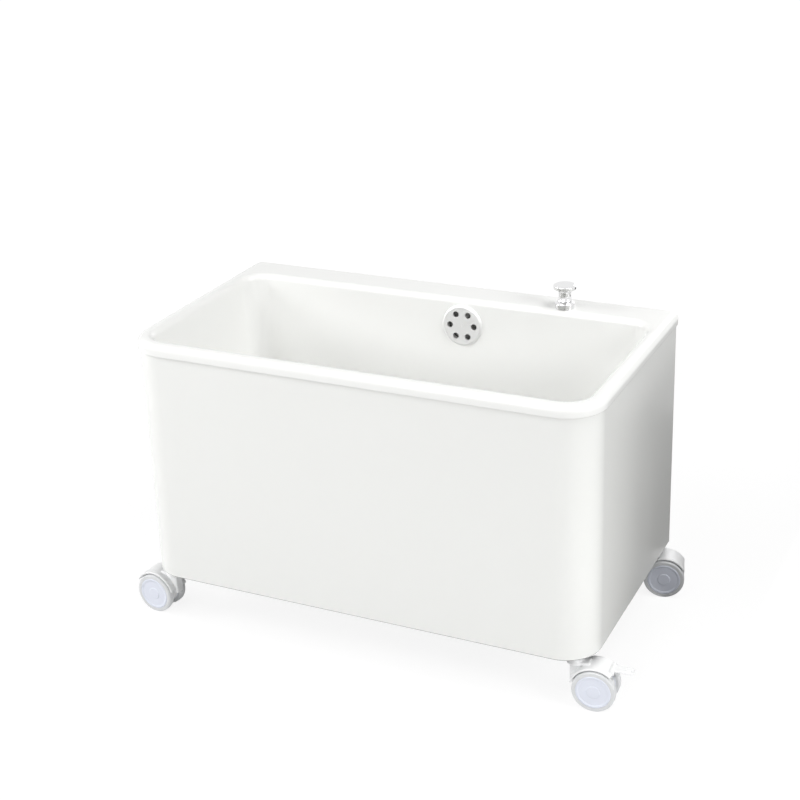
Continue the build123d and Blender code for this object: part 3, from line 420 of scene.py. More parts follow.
class Bench:
    """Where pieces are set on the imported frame."""

    def __init__(self, frame: dict, finishes: dict) -> None:
        """Keep the frame and the finishes by slot."""
        self.frame = frame
        self.finishes = finishes
        self.body_of = {
            node: body
            for body, nodes in frame["record"]["behaviour"]["bodies"].items()
            for node in nodes
        }

    def set_piece(self, mesh: bpy.types.Mesh, node: str, slot: "Slot", bevel: float = 0.0,
                  look: bpy.types.Material | None = None) -> None:
        """Stand a mesh for a CAD node, on the node's body.

        Args:
            mesh: The piece's mesh, in place.
            node: The node that it stands for.
            slot: The material slot of its finish.
            bevel: Width in millimetres of the bevel on its sharp edges.
            look: A finish of its own within the slot, where the slot's usual one isn't right.
        """
        piece = bpy.data.objects.new(f"{node}_look", mesh)
        bpy.context.scene.collection.objects.link(piece)
        mesh.materials.clear()
        mesh.materials.append(look or self.finishes[slot])
        if bevel:
            edge = piece.modifiers.new("edge", "BEVEL")
            edge.width = bevel * MM
            edge.segments = 2
            edge.limit_method = "ANGLE"
            edge.angle_limit = math.radians(SHARP_ANGLE)
        normals = piece.modifiers.new("normals", "WEIGHTED_NORMAL")
        normals.keep_sharp = True
        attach(piece, self.body_of[node])
        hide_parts(node)
        LOG.info("%s: %d faces", piece.name, len(mesh.polygons))

    def stand(self, surface: Surface, node: str, slot: "Slot", smooth_angle: float = SHARP_ANGLE) -> None:
        """Make the mesh of a surface and stand it for a CAD node."""
        self.set_piece(mesh_of(node, surface, smooth_angle), node, slot)

    def dress(self, rows: tuple) -> None:
        """Stand a merged, bevelled copy of each CAD node for it.

        Args:
            rows: Node, material slot and width in millimetres of the bevel, for each copy.
        """
        for node, slot, bevel in rows:
            mesh = self.frame["nodes"][node].data.copy()
            work = bmesh.new()
            work.from_mesh(mesh)
            bmesh.ops.remove_doubles(work, verts=work.verts, dist=SEAM)
            flat = math.radians(FLAT_ANGLE)
            bmesh.ops.dissolve_limit(work, angle_limit=flat, verts=work.verts, edges=work.edges)
            work.to_mesh(mesh)
            work.free()
            if "custom_normal" in mesh.attributes:
                mesh.attributes.remove(mesh.attributes["custom_normal"])
            self.set_piece(cleaned(mesh, COPY_SHARP_ANGLE), node, slot, bevel)


# Finishes


class Slot(Enum):
    """Material slots of the record."""

    SHELL = "shell"
    PANELS = "panels"
    CHROME = "chrome"
    FRAME_STEEL = "frame_steel"
    ZINC_STEEL = "zinc_steel"
    RUBBER = "rubber"
    WHITE_PLASTIC = "white_plastic"
    CASTER_PLASTIC = "caster_plastic"
    WHEEL_PLASTIC = "wheel_plastic"
    TREAD = "tread"


class Grain(Enum):
    """What the fine relief of a finish looks like."""

    PEEL = "peel"
    CAST = "cast"
    BRUSHED = "brushed"


@dataclass(frozen=True)
class Finish:
    """One finish: colour, gloss, and the scale and depth of its fine relief."""

    colour: tuple
    shade: tuple
    roughness: tuple
    metallic: float = 0.0
    patch_scale: float = 20.0
    relief_scale: float = 300.0
    relief_depth: float = 0.02
    ior: float = 1.5
    grain: Grain = Grain.CAST
    # Heights in millimetres and grey of a painted shade band along a sheet's bottom edge; empty for none.
    painted_edge_shade: tuple = ()


FINISHES = {
    Slot.SHELL: Finish((0.915, 0.918, 0.902), (0.907, 0.91, 0.894), (0.13, 0.2), patch_scale=7, ior=1.4,
                       relief_scale=160, relief_depth=0.006, grain=Grain.PEEL),
    # The panels carry a thin painted shade band along the skirt's bottom edge, dark grey where shade falls
    # under that edge.
    Slot.PANELS: Finish((0.88, 0.885, 0.866), (0.872, 0.877, 0.857), (0.2, 0.28), patch_scale=6, ior=1.4,
                        relief_scale=220, relief_depth=0.006, grain=Grain.PEEL, painted_edge_shade=(64.7, 65.5, 0.16)),
    Slot.CHROME: Finish((0.83, 0.83, 0.83), (0.79, 0.79, 0.8), (0.05, 0.11), metallic=1.0, patch_scale=60,
                        relief_scale=500, relief_depth=0.002, grain=Grain.PEEL),
    Slot.FRAME_STEEL: Finish((0.5, 0.51, 0.52), (0.44, 0.45, 0.46), (0.34, 0.5), patch_scale=35,
                             relief_scale=420, relief_depth=0.03, grain=Grain.CAST),
    Slot.ZINC_STEEL: Finish((0.62, 0.63, 0.64), (0.5, 0.51, 0.53), (0.24, 0.42), metallic=0.9, patch_scale=90,
                            relief_scale=700, relief_depth=0.01, grain=Grain.BRUSHED),
    Slot.RUBBER: Finish((0.035, 0.035, 0.037), (0.06, 0.06, 0.062), (0.55, 0.75), patch_scale=50,
                        relief_scale=900, relief_depth=0.03),
    Slot.WHITE_PLASTIC: Finish((0.78, 0.78, 0.77), (0.72, 0.72, 0.7), (0.32, 0.44), patch_scale=30,
                               relief_scale=500, relief_depth=0.012),
    Slot.CASTER_PLASTIC: Finish((0.92, 0.925, 0.925), (0.9, 0.905, 0.91), (0.3, 0.42), patch_scale=50,
                                relief_scale=900, relief_depth=0.01),
    Slot.WHEEL_PLASTIC: Finish((0.79, 0.82, 0.91), (0.77, 0.8, 0.89), (0.3, 0.42), patch_scale=60,
                               relief_scale=900, relief_depth=0.008),
    Slot.TREAD: Finish((0.76, 0.77, 0.78), (0.7, 0.71, 0.72), (0.45, 0.6), patch_scale=70,
                       relief_scale=1100, relief_depth=0.025),
}

SATIN_CHROME = Finish((0.9, 0.9, 0.9), (0.87, 0.87, 0.87), (0.3, 0.38), metallic=0.55, patch_scale=60,
                      relief_scale=900, relief_depth=0.004, grain=Grain.BRUSHED)


class Graph:
    """A node tree, with one call to add a node, set it and join it."""

    def __init__(self, tree: bpy.types.NodeTree) -> None:
        """Keep the tree."""
        self.tree = tree

    @staticmethod
    def group(name: str, takes: tuple, gives: tuple) -> tuple:
        """Start a node group.

        Args:
            name: The group's name.
            takes: Name and kind of each input.
            gives: Name and kind of each output.

        Returns:
            The group's graph, what it is given, and its output node.
        """
        tree = bpy.data.node_groups.new(name, "ShaderNodeTree")
        for way, sockets in (("INPUT", takes), ("OUTPUT", gives)):
            for label, kind in sockets:
                tree.interface.new_socket(name=label, in_out=way, socket_type=f"NodeSocket{kind}")
        graph = Graph(tree)
        return graph, graph.add("NodeGroupInput").outputs, graph.add("NodeGroupOutput")

    @staticmethod
    def material(name: str) -> tuple:
        """Start a material from an empty graph, and give both."""
        material = bpy.data.materials.new(name)
        material.use_nodes = True
        material.node_tree.nodes.clear()
        return material, Graph(material.node_tree)

    def add(self, kind: str, inputs: dict | None = None, **settings: object) -> bpy.types.Node:
        """Add a node.

        Args:
            kind: Blender's name of the node's type.
            inputs: What each input takes, a value or another node's output.
            settings: The node's own settings.

        Returns:
            The node.
        """
        node = self.tree.nodes.new(kind)
        for name, value in settings.items():
            setattr(node, name, value)
        self.feed(node, inputs or {})
        return node

    def feed(self, node: bpy.types.Node, inputs: dict) -> None:
        """Give a node's inputs their values, or the outputs that drive them."""
        for name, value in inputs.items():
            if isinstance(value, bpy.types.NodeSocket):
                self.tree.links.new(value, node.inputs[name])
            else:
                node.inputs[name].default_value = value

    def here(self) -> bpy.types.NodeSocket:
        """Where a point lies on its piece."""
        return self.add("ShaderNodeTexCoord").outputs["Object"]

    def mixed(self, share: bpy.types.NodeSocket, first: object, second: object,
              kind: str = "RGBA") -> bpy.types.NodeSocket:
        """Mix of two colours, or of two numbers for the kind FLOAT."""
        inputs = {"Factor": share, "A": first, "B": second}
        return self.add("ShaderNodeMix", inputs, data_type=kind).outputs["Result"]

    def ramp(self, value: bpy.types.NodeSocket, start: float, end: float, least: float = 0.0,
             curve: str = "SMOOTHSTEP") -> bpy.types.NodeSocket:
        """Number that goes from a least value to one while another goes from start to end."""
        inputs = {"Value": value, "From Min": start, "From Max": end, "To Min": least}
        return self.add("ShaderNodeMapRange", inputs, interpolation_type=curve).outputs["Result"]

    def blend(self, share: bpy.types.NodeSocket, first: bpy.types.Node, second: bpy.types.Node) -> None:
        """Put out the mix of two shaders as the surface."""
        mix = self.add("ShaderNodeMixShader", {0: share, 1: first.outputs[0], 2: second.outputs[0]})
        self.add("ShaderNodeOutputMaterial", {"Surface": mix.outputs[0]})


class FinishShop:
    """Makes the materials from the finishes, with two shared kinds of node group."""

    def __init__(self) -> None:
        """Build the shared groups once."""
        self.patches = self.patch_group()
        self.relief = {grain: self.relief_group(grain) for grain in Grain}

    @staticmethod
    def patch_group() -> bpy.types.NodeTree:
        """Group that drifts a colour and a roughness between two values over soft patches."""
        takes = (("Colour", "Color"), ("Shade", "Color"), ("Smooth", "Float"), ("Rough", "Float"),
                 ("Scale", "Float"))
        graph, given, out = Graph.group("soft_patches", takes, (("Colour", "Color"), ("Roughness", "Float")))
        cloud = graph.add("ShaderNodeTexNoise", {
            "Vector": graph.here(), "Scale": given["Scale"], "Detail": 3, "Roughness": 0.5,
        })
        share = graph.ramp(cloud.outputs["Fac"], 0.1, 0.9, curve="LINEAR")
        graph.feed(out, {
            "Colour": graph.mixed(share, given["Colour"], given["Shade"]),
            "Roughness": graph.mixed(share, given["Smooth"], given["Rough"], "FLOAT"),
        })
        return graph.tree

    @staticmethod
    def relief_group(grain: Grain) -> bpy.types.NodeTree:
        """Group that puts out the height of a fine relief: orange peel, cast skin or brushing."""
        takes, gives = (("Scale", "Float"),), (("Height", "Float"),)
        graph, given, out = Graph.group(f"relief_{grain.value}", takes, gives)
        place = graph.here()
        if grain is Grain.BRUSHED:
            stretch = graph.add("ShaderNodeMapping", {"Vector": place, "Scale": (0.15, 1.0, 1.0)})
            place = stretch.outputs["Vector"]
        detail, roughness = (1.0, 0.4) if grain is Grain.PEEL else (4.0, 0.65)
        ripple = graph.add("ShaderNodeTexNoise", {
            "Vector": place, "Scale": given["Scale"], "Detail": detail, "Roughness": roughness,
        })
        graph.feed(out, {"Height": ripple.outputs["Fac"]})
        return graph.tree

    @staticmethod
    def painted_edge_shade(graph: Graph, colour: bpy.types.NodeSocket, edge: tuple) -> bpy.types.NodeSocket:
        """Darken a colour below a height: a painted shade band along a sheet's bottom edge, where shade falls
        under it.

        Args:
            graph: The material's graph.
            colour: The colour above the edge.
            edge: Top of the painted shade band and start of full colour in millimetres, and the shade's grey.

        Returns:
            The colour with its painted shade band.
        """
        shade_top, full, grey = edge
        height = graph.add("ShaderNodeSeparateXYZ", {0: graph.here()}).outputs["Z"]
        return graph.mixed(graph.ramp(height, shade_top * MM, full * MM), (grey, grey, grey, 1), colour)

    def material(self, name: str, finish: Finish) -> bpy.types.Material:
        """Material of one finish."""
        material, graph = Graph.material(name)
        patches = graph.add("ShaderNodeGroup", {
            "Colour": (*finish.colour, 1), "Shade": (*finish.shade, 1), "Smooth": finish.roughness[0],
            "Rough": finish.roughness[1], "Scale": finish.patch_scale,
        }, node_tree=self.patches)
        grain = self.relief[finish.grain]
        relief = graph.add("ShaderNodeGroup", {"Scale": finish.relief_scale}, node_tree=grain)
        bump = graph.add("ShaderNodeBump", {
            "Height": relief.outputs["Height"], "Distance": finish.relief_depth * MM, "Strength": 1.0,
        })
        colour = patches.outputs["Colour"]
        # Painted shade: a thin dark band at the sheet's bottom edge.
        if finish.painted_edge_shade:
            colour = self.painted_edge_shade(graph, colour, finish.painted_edge_shade)
        shader = graph.add("ShaderNodeBsdfPrincipled", {
            "Base Color": colour, "Roughness": patches.outputs["Roughness"], "Normal": bump.outputs["Normal"],
            "Metallic": finish.metallic, "IOR": finish.ior,
        })
        graph.add("ShaderNodeOutputMaterial", {"Surface": shader.outputs[0]})
        return material

    def all_materials(self) -> dict:
        """Every slot's material."""
        return {slot: self.material(slot.value, finish) for slot, finish in FINISHES.items()}


# Sub-assemblies, sizes in millimetres


@dataclass
class BasinShell:
    """One-piece bowl with a rolled rim on three sides and a rear deck."""

    half_width: float = 300.0
    half_depth: float = 164.0
    top: float = 382.0
    lip_bottom: float = 367.0
    lip_wall: float = 3.0
    pocket: float = 377.0
    wall: float = 5.0
    corner: float = 48.0
    rear_corner: float = 9.0
    rear_seat: float = 0.4
    edge: float = 8.5
    lip: float = 1.5
    lip_inside: float = 0.6
    rear_edge: float = 1.5
    bowl_half_width: float = 280.0
    bowl_half_depth: float = 130.0
    bowl_middle: float = -14.0
    bowl_corner: float = 28.0
    floor_level: float = 144.0
    floor_radius: float = 24.0
    floor_fall: float = 0.02
    draft: float = 3.0
    drain: tuple = (30.0, 30.0)
    boss_radius: float = 41.0
    boss_bottom: float = 136.0
    seat_radius: float = 34.5
    seat_level: float = 141.0
    bore: float = 23.0
    knob: tuple = (162.0, 131.0)
    knob_hole: float = 6.05
    knob_cut: tuple = (350.0, 400.0)
    overflow_hole: float = 20.5
    overflow_cut: float = 40.0
    boss_margin: float = 2.0
    wall_rings: int = 7
    back_rings: int = 5
    plan: Plan = field(default_factory=Plan)

    @property
    def lean(self) -> float:
        """Angle of the bowl's walls from upright, in radians."""
        return math.radians(self.draft)

    def body_ring(self, inset: float, height: float, rear_inset: float, rear_corner: float) -> np.ndarray:
        """Ring of the body's outline at a height, its front and sides moved in, and its rear by its own."""
        middle = (inset - rear_inset) / 2
        half_depth = self.half_depth - (inset + rear_inset) / 2
        points = self.plan.at(self.half_width - inset, half_depth, self.corner - inset, rear_corner, middle)
        return with_height(points, height)

    def rolled_height(self, points: np.ndarray) -> np.ndarray:
        """Height of the rolled top, h - e + sqrt(e^2 - (e - d)^2) at d from the sides or front."""
        side = self.half_width - np.abs(points[:, 0])
        front = points[:, 1] + self.half_depth
        arm = self.corner - np.stack([side, front], axis=-1)
        outside = np.hypot(*np.clip(arm, 0, None).T)
        distance = np.minimum(self.corner - outside, np.minimum(side, front))
        inside = np.clip(self.edge - distance, 0, self.edge)
        return self.top - self.edge + np.sqrt(self.edge**2 - inside**2)

    def outer_rings(self, steps: int = 9) -> list:
        """Rings from the pocket's roof down round the lip, up the outside and over the roll."""
        flat = self.lip_wall - self.lip_inside
        rings = [
            self.body_ring(self.lip_wall, self.pocket, self.lip_wall, self.rear_seat),
            self.body_ring(self.lip_wall, self.lip_bottom + self.lip_inside, self.lip_wall, self.rear_seat),
            self.body_ring(flat, self.lip_bottom, flat, 2 * self.rear_seat),
        ]
        for angle in np.linspace(-math.pi / 2, 0, 5):
            inset = self.lip * (1 - math.cos(angle))
            rear = self.rear_edge * (1 - math.cos(angle))
            height = self.lip_bottom + self.lip + self.lip * math.sin(angle)
            rings.append(self.body_ring(inset, height, rear, self.rear_corner - rear))
        on_rear = np.isclose(self.plan.shares[:, 1], 1) & (self.plan.normals[:, 1] > 0)
        share = np.where(on_rear, self.plan.normals[:, 1], 0.0)
        for angle in np.linspace(0, math.pi / 2, steps):
            inset = self.edge * (1 - math.cos(angle))
            rear = self.rear_edge * (1 - math.cos(angle))
            ring = self.body_ring(inset, 0.0, rear, self.rear_corner - rear)
            down = self.rear_edge * (1 - math.sin(angle))
            ring[:, 2] = self.rolled_height(ring) - down * share
            rings.append(ring)
        return rings

    def floor_height(self, points: np.ndarray, grow: float) -> np.ndarray:
        """Height of the floor, rising from the drain boss with the distance from it."""
        away = np.hypot(points[:, 0] - self.drain[0], points[:, 1] - self.drain[1])
        return self.floor_level - grow + self.floor_fall * np.clip(away - self.boss_radius, 0, None)

    def mouth(self, outward: np.ndarray, radius: np.ndarray) -> np.ndarray:
        """Points at a distance outside the mouth's outline, with corners of a radius."""
        half_width, half_depth = self.bowl_half_width + outward, self.bowl_half_depth + outward
        return self.plan.at(half_width, half_depth, radius, radius, self.bowl_middle)

    def bowl_ring(self, outward: np.ndarray, grow: float, height: np.ndarray) -> np.ndarray:
        """Ring round the bowl, its points moved outwards from the mouth's outline.

        Args:
            outward: How far each point stands outside the mouth's outline, negative inside it.
            grow: Wall thickness outside the bowl's inner face.
            height: Height of each point.

        Returns:
            The ring.
        """
        from_wall = outward + (self.top - height) * math.tan(self.lean)
        radius = np.clip(self.bowl_corner + grow + from_wall, 0.5, None)
        return with_height(self.mouth(grow + outward, radius), height)

    def mouth_rings(self, steps: int = 9) -> list:
        """Rings over the mouth's rounding, an arc from level to the drafted wall."""
        centre = self.edge * (1 / math.cos(self.lean) - math.tan(self.lean))
        rings = []
        for angle in np.linspace(math.pi / 2, math.pi - self.lean, steps):
            outward = centre + self.edge * math.cos(angle)
            height = self.top - self.edge + self.edge * math.sin(angle)
            rings.append(with_height(self.mouth(outward, self.bowl_corner + outward), height))
        return rings

    def lower_rings(self, grow: float, steps: int = 12) -> list:
        """Rings round the bowl's lower edge, an arc from the drafted wall to the floor.

        The arc's centre lies one radius above the floor and one radius inside the wall, and the
        floor's height is read at each point's own place.

        Args:
            grow: Wall thickness outside the bowl's inner face.
            steps: Number of rings.

        Returns:
            The rings from the wall to the floor.
        """
        radius = self.floor_radius + grow
        floor = np.full(len(self.plan.shares), self.floor_level - grow)
        for _ in range(3):
            centre_z = floor + radius
            centre = -(self.top - centre_z) * math.tan(self.lean) - radius / math.cos(self.lean)
            floor = self.floor_height(self.bowl_ring(centre, grow, centre_z), grow)
        rings = []
        for angle in np.linspace(-self.lean, -math.pi / 2, steps):
            outward = centre + radius * math.cos(angle)
            rings.append(self.bowl_ring(outward, grow, centre_z + radius * math.sin(angle)))
        return rings

    def floor_rings(self, edge_ring: np.ndarray, grow: float, steps: int = 10) -> list:
        """Rings over the floor, shrinking from its edge to the drain boss."""
        from_drain = edge_ring[:, :2] - self.drain
        away = np.hypot(*from_drain.T)[:, None]
        boss = self.drain + from_drain / away * self.boss_radius
        lines = between(edge_ring[:, :2], boss, steps)[1:]
        return [with_height(points, self.floor_height(points, grow)) for points in lines]

    def drain_rings(self, like: np.ndarray) -> list:
        """Rings down the drain's seat, through its bore and round the boss below."""
        direction = like[:, :2] - self.drain
        direction /= np.hypot(*direction.T)[:, None]
        section = np.array((
            (self.boss_radius - self.boss_margin, self.floor_level, 0),
            (self.seat_radius, self.floor_level, 0.8),
            (self.seat_radius, self.seat_level, 0),
            (self.bore, self.seat_level, 0.4),
            (self.bore, self.boss_bottom, 0.4),
            (self.boss_radius, self.boss_bottom, 1.0),
            (self.boss_radius, self.floor_level - self.wall, 0),
        ))
        line = rounded_line(section[:, :2], section[:, 2])
        return [with_height(self.drain + direction * radius, height) for radius, height in line]

    def surface(self) -> Surface:
        """The whole shell as one closed stack of rings."""
        inner, outer = self.lower_rings(0), self.lower_rings(self.wall)
        floor, under = self.floor_rings(inner[-1], 0), self.floor_rings(outer[-1], self.wall)
        height = np.full(len(self.plan.shares), self.pocket)
        roof = self.bowl_ring(-(self.top - height) * math.tan(self.lean), self.wall, height)
        rings = self.outer_rings() + self.mouth_rings()
        rings += between(rings[-1], inner[0], self.wall_rings)[1:-1]
        rings += inner + floor + self.drain_rings(floor[-1]) + under[::-1][1:] + outer[::-1]
        rings += between(outer[0], roof, self.back_rings)[1:]
        return stacked(np.array(rings), cyclic=True)

    def build(self, bench: Bench, overflow: "Overflow") -> None:
        """Make the shell, cut its holes and set it on the frame."""
        reach = self.overflow_cut
        tools = cylinder(self.overflow_hole, -reach, reach).placed(overflow.place())
        tools += cylinder(self.knob_hole, *self.knob_cut, around=48).placed(shift(*self.knob))
        bench.set_piece(cut(mesh_of("basin", self.surface()), tools), "basin", Slot.SHELL)


@dataclass
class Enclosure:
    """Skirt round the front and sides, back panel and its screws."""

    half_width: float = 300.0
    half_depth: float = 164.0
    inset: float = 3.3
    wall: float = 3.0
    corner: float = 48.0
    corner_points: int = 26
    straight_points: int = 16
    low: float = 64.0
    high: float = 376.7
    foot_radius: float = 1.4
    top_radius: float = 0.6
    return_width: float = 15.0
    return_lap: float = 0.4
    return_edge: float = 0.5
    panel_front: float = 157.7
    panel_edge: float = 0.6
    seat: float = 0.3
    rim_bottom: float = 367.0
    screw_shank: float = 2.0
    screw_reach: float = 7.0
    screw_head: float = 4.5
    screw_side: float = 1.2
    screw_crown: float = 2.6
    screw_height: float = 2.2
    screw_inset: float = 7.5
    screw_rows: int = 4
    recess: tuple = (2.4, 0.45, 1.3)

    def middle_line(self) -> np.ndarray:
        """Line seen from above through the middle of the sheet, from the left rear edge to the right.

        A straight side, a quarter turn with points (x - r sin a, y - r cos a) about the corner's
        centre, half the front, and the same again mirrored in X.

        Returns:
            Array of X and Y.
        """
        middle = self.inset + self.wall / 2
        radius = self.corner - middle
        x_side, y_front = self.half_width - middle, middle - self.half_depth
        centre_x, centre_y = x_side - radius, y_front + radius
        angle = np.linspace(math.pi / 2, 0, self.corner_points)
        side = np.linspace(self.half_depth - self.inset, centre_y, self.straight_points)[:-1]
        front = np.linspace(-centre_x, 0, self.straight_points)[1:-1]
        half = np.vstack([
            np.column_stack([np.full_like(side, -x_side), side]),
            np.column_stack([-centre_x - radius * np.sin(angle), centre_y - radius * np.cos(angle)]),
            np.column_stack([front, np.full_like(front, y_front)]),
        ])
        return np.vstack([half, half[::-1] * (-1, 1)])

    def sheet(self) -> Surface:
        """The skirt's sheet: an upright section carried round from rear edge to rear edge."""
        line = self.middle_line()
        ahead = np.gradient(line, axis=0)
        ahead /= np.hypot(*ahead.T)[:, None]
        outward = np.column_stack([ahead[:, 1], -ahead[:, 0], np.zeros(len(line))])
        upward = np.tile((0.0, 0.0, 1.0), (len(line), 1))
        edge = self.wall / 2
        section = rounded_line(
            [(-edge, self.low), (edge, self.low), (edge, self.high), (-edge, self.high)],
            [self.foot_radius, self.foot_radius, self.top_radius, self.top_radius],
            closed=True,
        )
        return carried(section, with_height(line, 0.0), outward, upward)

    def screw_places(self) -> list:
        """Matrices of the back panel's screws, their Z out of the panel."""
        edge = 2 * self.return_width
        x = self.half_width - self.inset - self.wall - self.screw_inset
        heights = np.linspace(self.low + edge, self.rim_bottom - edge, self.screw_rows)
        rear = self.half_depth - self.inset
        return [shift(side * x, rear, height) @ turn("X", -90) for side in (-1, 1) for height in heights]

    def build(self, bench: Bench) -> None:
        """Make the skirt, the back panel and the screws."""
        inside = self.half_width - self.inset - self.wall
        skirt = self.sheet()
        for side in (-1, 1):
            x_low, x_high = sorted((side * (inside + self.return_lap), side * (inside - self.return_width)))
            low = (x_low, self.panel_front - self.wall, self.low)
            skirt += block(low, (x_high, self.panel_front, self.high), self.return_edge)
        bench.stand(skirt, "skirt", Slot.PANELS)
        half, rear = inside - self.seat, self.half_depth - self.inset
        panel = block((-half, self.panel_front, self.low), (half, rear, self.high), self.panel_edge)
        bench.stand(panel, "back_panel", Slot.PANELS)
        screw = turned((
            (0, -self.screw_reach, 0), (self.screw_shank, -self.screw_reach, 0.3),
            (self.screw_shank, 0, 0), (self.screw_head, 0, 0.2), (self.screw_head, self.screw_side, 0.6),
            (self.screw_crown, self.screw_height, 1.2), (0, self.screw_height, 0),
        ), around=32)
        long, narrow, deep = self.recess
        recess = cross_recess(long, narrow, deep, deep + self.screw_height)
        places = self.screw_places()
        screws = together(screw.placed(place) for place in places)
        recesses = together(recess.placed(place) for place in places)
        bench.set_piece(cut(mesh_of("panel_screws", screws), recesses), "panel_screws", Slot.ZINC_STEEL)


class UnderFrame:
    """Tube frame, support studs and pads below the bowl."""

    @staticmethod
    def build(bench: Bench) -> None:
        """Dress the frame's nodes."""
        bench.dress((
            ("cross_rails", Slot.FRAME_STEEL, 0.8),
            ("side_rails", Slot.FRAME_STEEL, 0.8),
            ("bearers", Slot.FRAME_STEEL, 0.8),
            ("stem_sockets", Slot.FRAME_STEEL, 0.8),
            ("support_studs", Slot.ZINC_STEEL, 0.3),
            ("support_pads", Slot.RUBBER, 0.8),
            ("skirt_spacers", Slot.WHITE_PLASTIC, 0.8),
        ))


@dataclass
class Drain:
    """Drain flange and the waste below the bowl's floor."""

    x: float = 30.0
    y: float = 30.0
    floor: float = 144.0
    flange: float = 34.0
    flange_thickness: float = 3.0
    flange_slope: tuple = (3.2, 0.9)
    mouth_slope: tuple = (4.4, 3.4)
    bore: float = 19.0
    neck: float = 22.5
    neck_bottom: float = 118.0
    tail_radius: float = 20.0
    tail_collar: float = 20.5
    tail_inner: float = 18.0
    tail_bottom: float = 25.0
    tail_step: float = 71.0
    tail_top: float = 85.0

    def build(self, bench: Bench) -> None:
        """Make the flange and the tailpiece, and dress the rest."""
        place = shift(self.x, self.y)
        low = self.floor - self.flange_thickness
        slope, slope_drop = self.flange_slope
        mouth, mouth_drop = self.mouth_slope
        flange = turned((
            (self.bore, self.neck_bottom, 0.5), (self.neck, self.neck_bottom, 0.5),
            (self.neck, low, 0), (self.flange, low, 0.3), (self.flange, self.floor - slope_drop, 0.7),
            (self.flange - slope, self.floor, 2.4), (self.bore + mouth, self.floor, 2.2),
            (self.bore, self.floor - mouth_drop, 1.8),
        ), cyclic=True)
        bench.stand(flange.placed(place), "drain_flange", Slot.CHROME)
        tail = turned((
            (self.tail_inner, self.tail_bottom, 0.6), (self.tail_radius, self.tail_bottom, 0.9),
            (self.tail_radius, self.tail_step, 0), (self.tail_collar, self.tail_step, 0.2),
            (self.tail_collar, self.tail_top, 0.4), (self.tail_inner, self.tail_top, 0.3),
        ), cyclic=True)
        bench.stand(tail.placed(place), "tailpiece", Slot.WHITE_PLASTIC)
        bench.dress((
            ("drain_gasket", Slot.RUBBER, 0.3),
            ("drain_locknut", Slot.WHITE_PLASTIC, 0.5),
            ("waste_body", Slot.WHITE_PLASTIC, 0.5),
            ("slip_nut", Slot.WHITE_PLASTIC, 0.5),
        ))


@dataclass
class Overflow:
    """Six-hole overflow face in the bowl's rear wall, with its cup and pipe."""

    x: float = 30.0
    y: float = 116.0
    top: float = 382.0
    drop: float = 35.0
    lean: float = 3.0
    radius: float = 27.0
    thickness: float = 3.0
    slope: tuple = (2.2, 1.7)
    dish: float = 0.15
    hole: float = 4.0
    pitch: float = 16.5
    holes: int = 6
    drill: tuple = (-5.0, 8.0)
    sink_room: tuple = (0.05, 0.15)
    sink_depth: tuple = (1.45, 0.02)
    screw_head: float = 3.4
    screw_shank: float = 2.0
    shank_end: float = -27.0
    head_depth: tuple = (1.4, 0.1)
    recess: tuple = (1.9, 0.42, 0.8)
    recess_top: float = 2.0

    def place(self) -> np.ndarray:
        """Matrix from the face's own frame, its Z into the bowl and its X to the right."""
        slope = math.tan(math.radians(self.lean))
        return shift(self.x, self.y - self.drop * slope, self.top - self.drop) @ turn("X", 90 - self.lean)

    def face(self) -> Surface:
        """The round face, with sloping edges and a slight dish."""
        slope, slope_drop = self.slope
        return turned((
            (0, 0, 0), (self.radius, 0, 0.2), (self.radius, self.thickness - slope_drop, 0.7),
            (self.radius - slope, self.thickness, 2.0), (0, self.thickness - self.dish, 0),
        ), around=144)

    def face_holes(self) -> Surface:
        """The space of the six holes and of the screw's countersink."""
        low, high = self.drill
        drill = cylinder(self.hole, low, high, around=48)
        places = [turn("Z", 360 / self.holes * step) @ shift(self.pitch) for step in range(self.holes)]
        shank, head = self.screw_shank + self.sink_room[0], self.screw_head + self.sink_room[1]
        foot, rim = self.thickness - self.sink_depth[0], self.thickness - self.sink_depth[1]
        sink = turned((
            (0, low, 0), (shank, low, 0), (shank, foot, 0), (head, rim, 0), (head, high, 0), (0, high, 0),
        ), around=48)
        return together(drill.placed(place) for place in places) + sink

    def screw(self) -> Surface:
        """The screw through the face's middle, its head flush."""
        foot, rim = self.thickness - self.head_depth[0], self.thickness - self.head_depth[1]
        return turned((
            (0, self.shank_end, 0), (self.screw_shank, self.shank_end, 0.3), (self.screw_shank, foot, 0),
            (self.screw_head, rim, 0.15), (0, self.thickness, 0),
        ), around=48)

    def build(self, bench: Bench, satin: bpy.types.Material) -> None:
        """Make the face and its screw in their own satin finish, and dress the hidden pieces."""
        long, narrow, deep = self.recess
        recess = cross_recess(long, narrow, self.thickness - deep, self.thickness + self.recess_top)
        rows = (
            ("overflow_rosette", self.face(), self.face_holes(), 0.35),
            ("overflow_screw", self.screw(), recess, 0.08),
        )
        for node, surface, tools, bevel in rows:
            mesh = cut(mesh_of(node, surface), tools)
            mesh.transform(in_metres(self.place()))
            bench.set_piece(mesh, node, Slot.CHROME, bevel, look=satin)
        bench.dress((
            ("overflow_gasket", Slot.RUBBER, 0.3),
            ("overflow_cup", Slot.WHITE_PLASTIC, 0.6),
            ("overflow_pipe", Slot.WHITE_PLASTIC, 0.3),
        ))


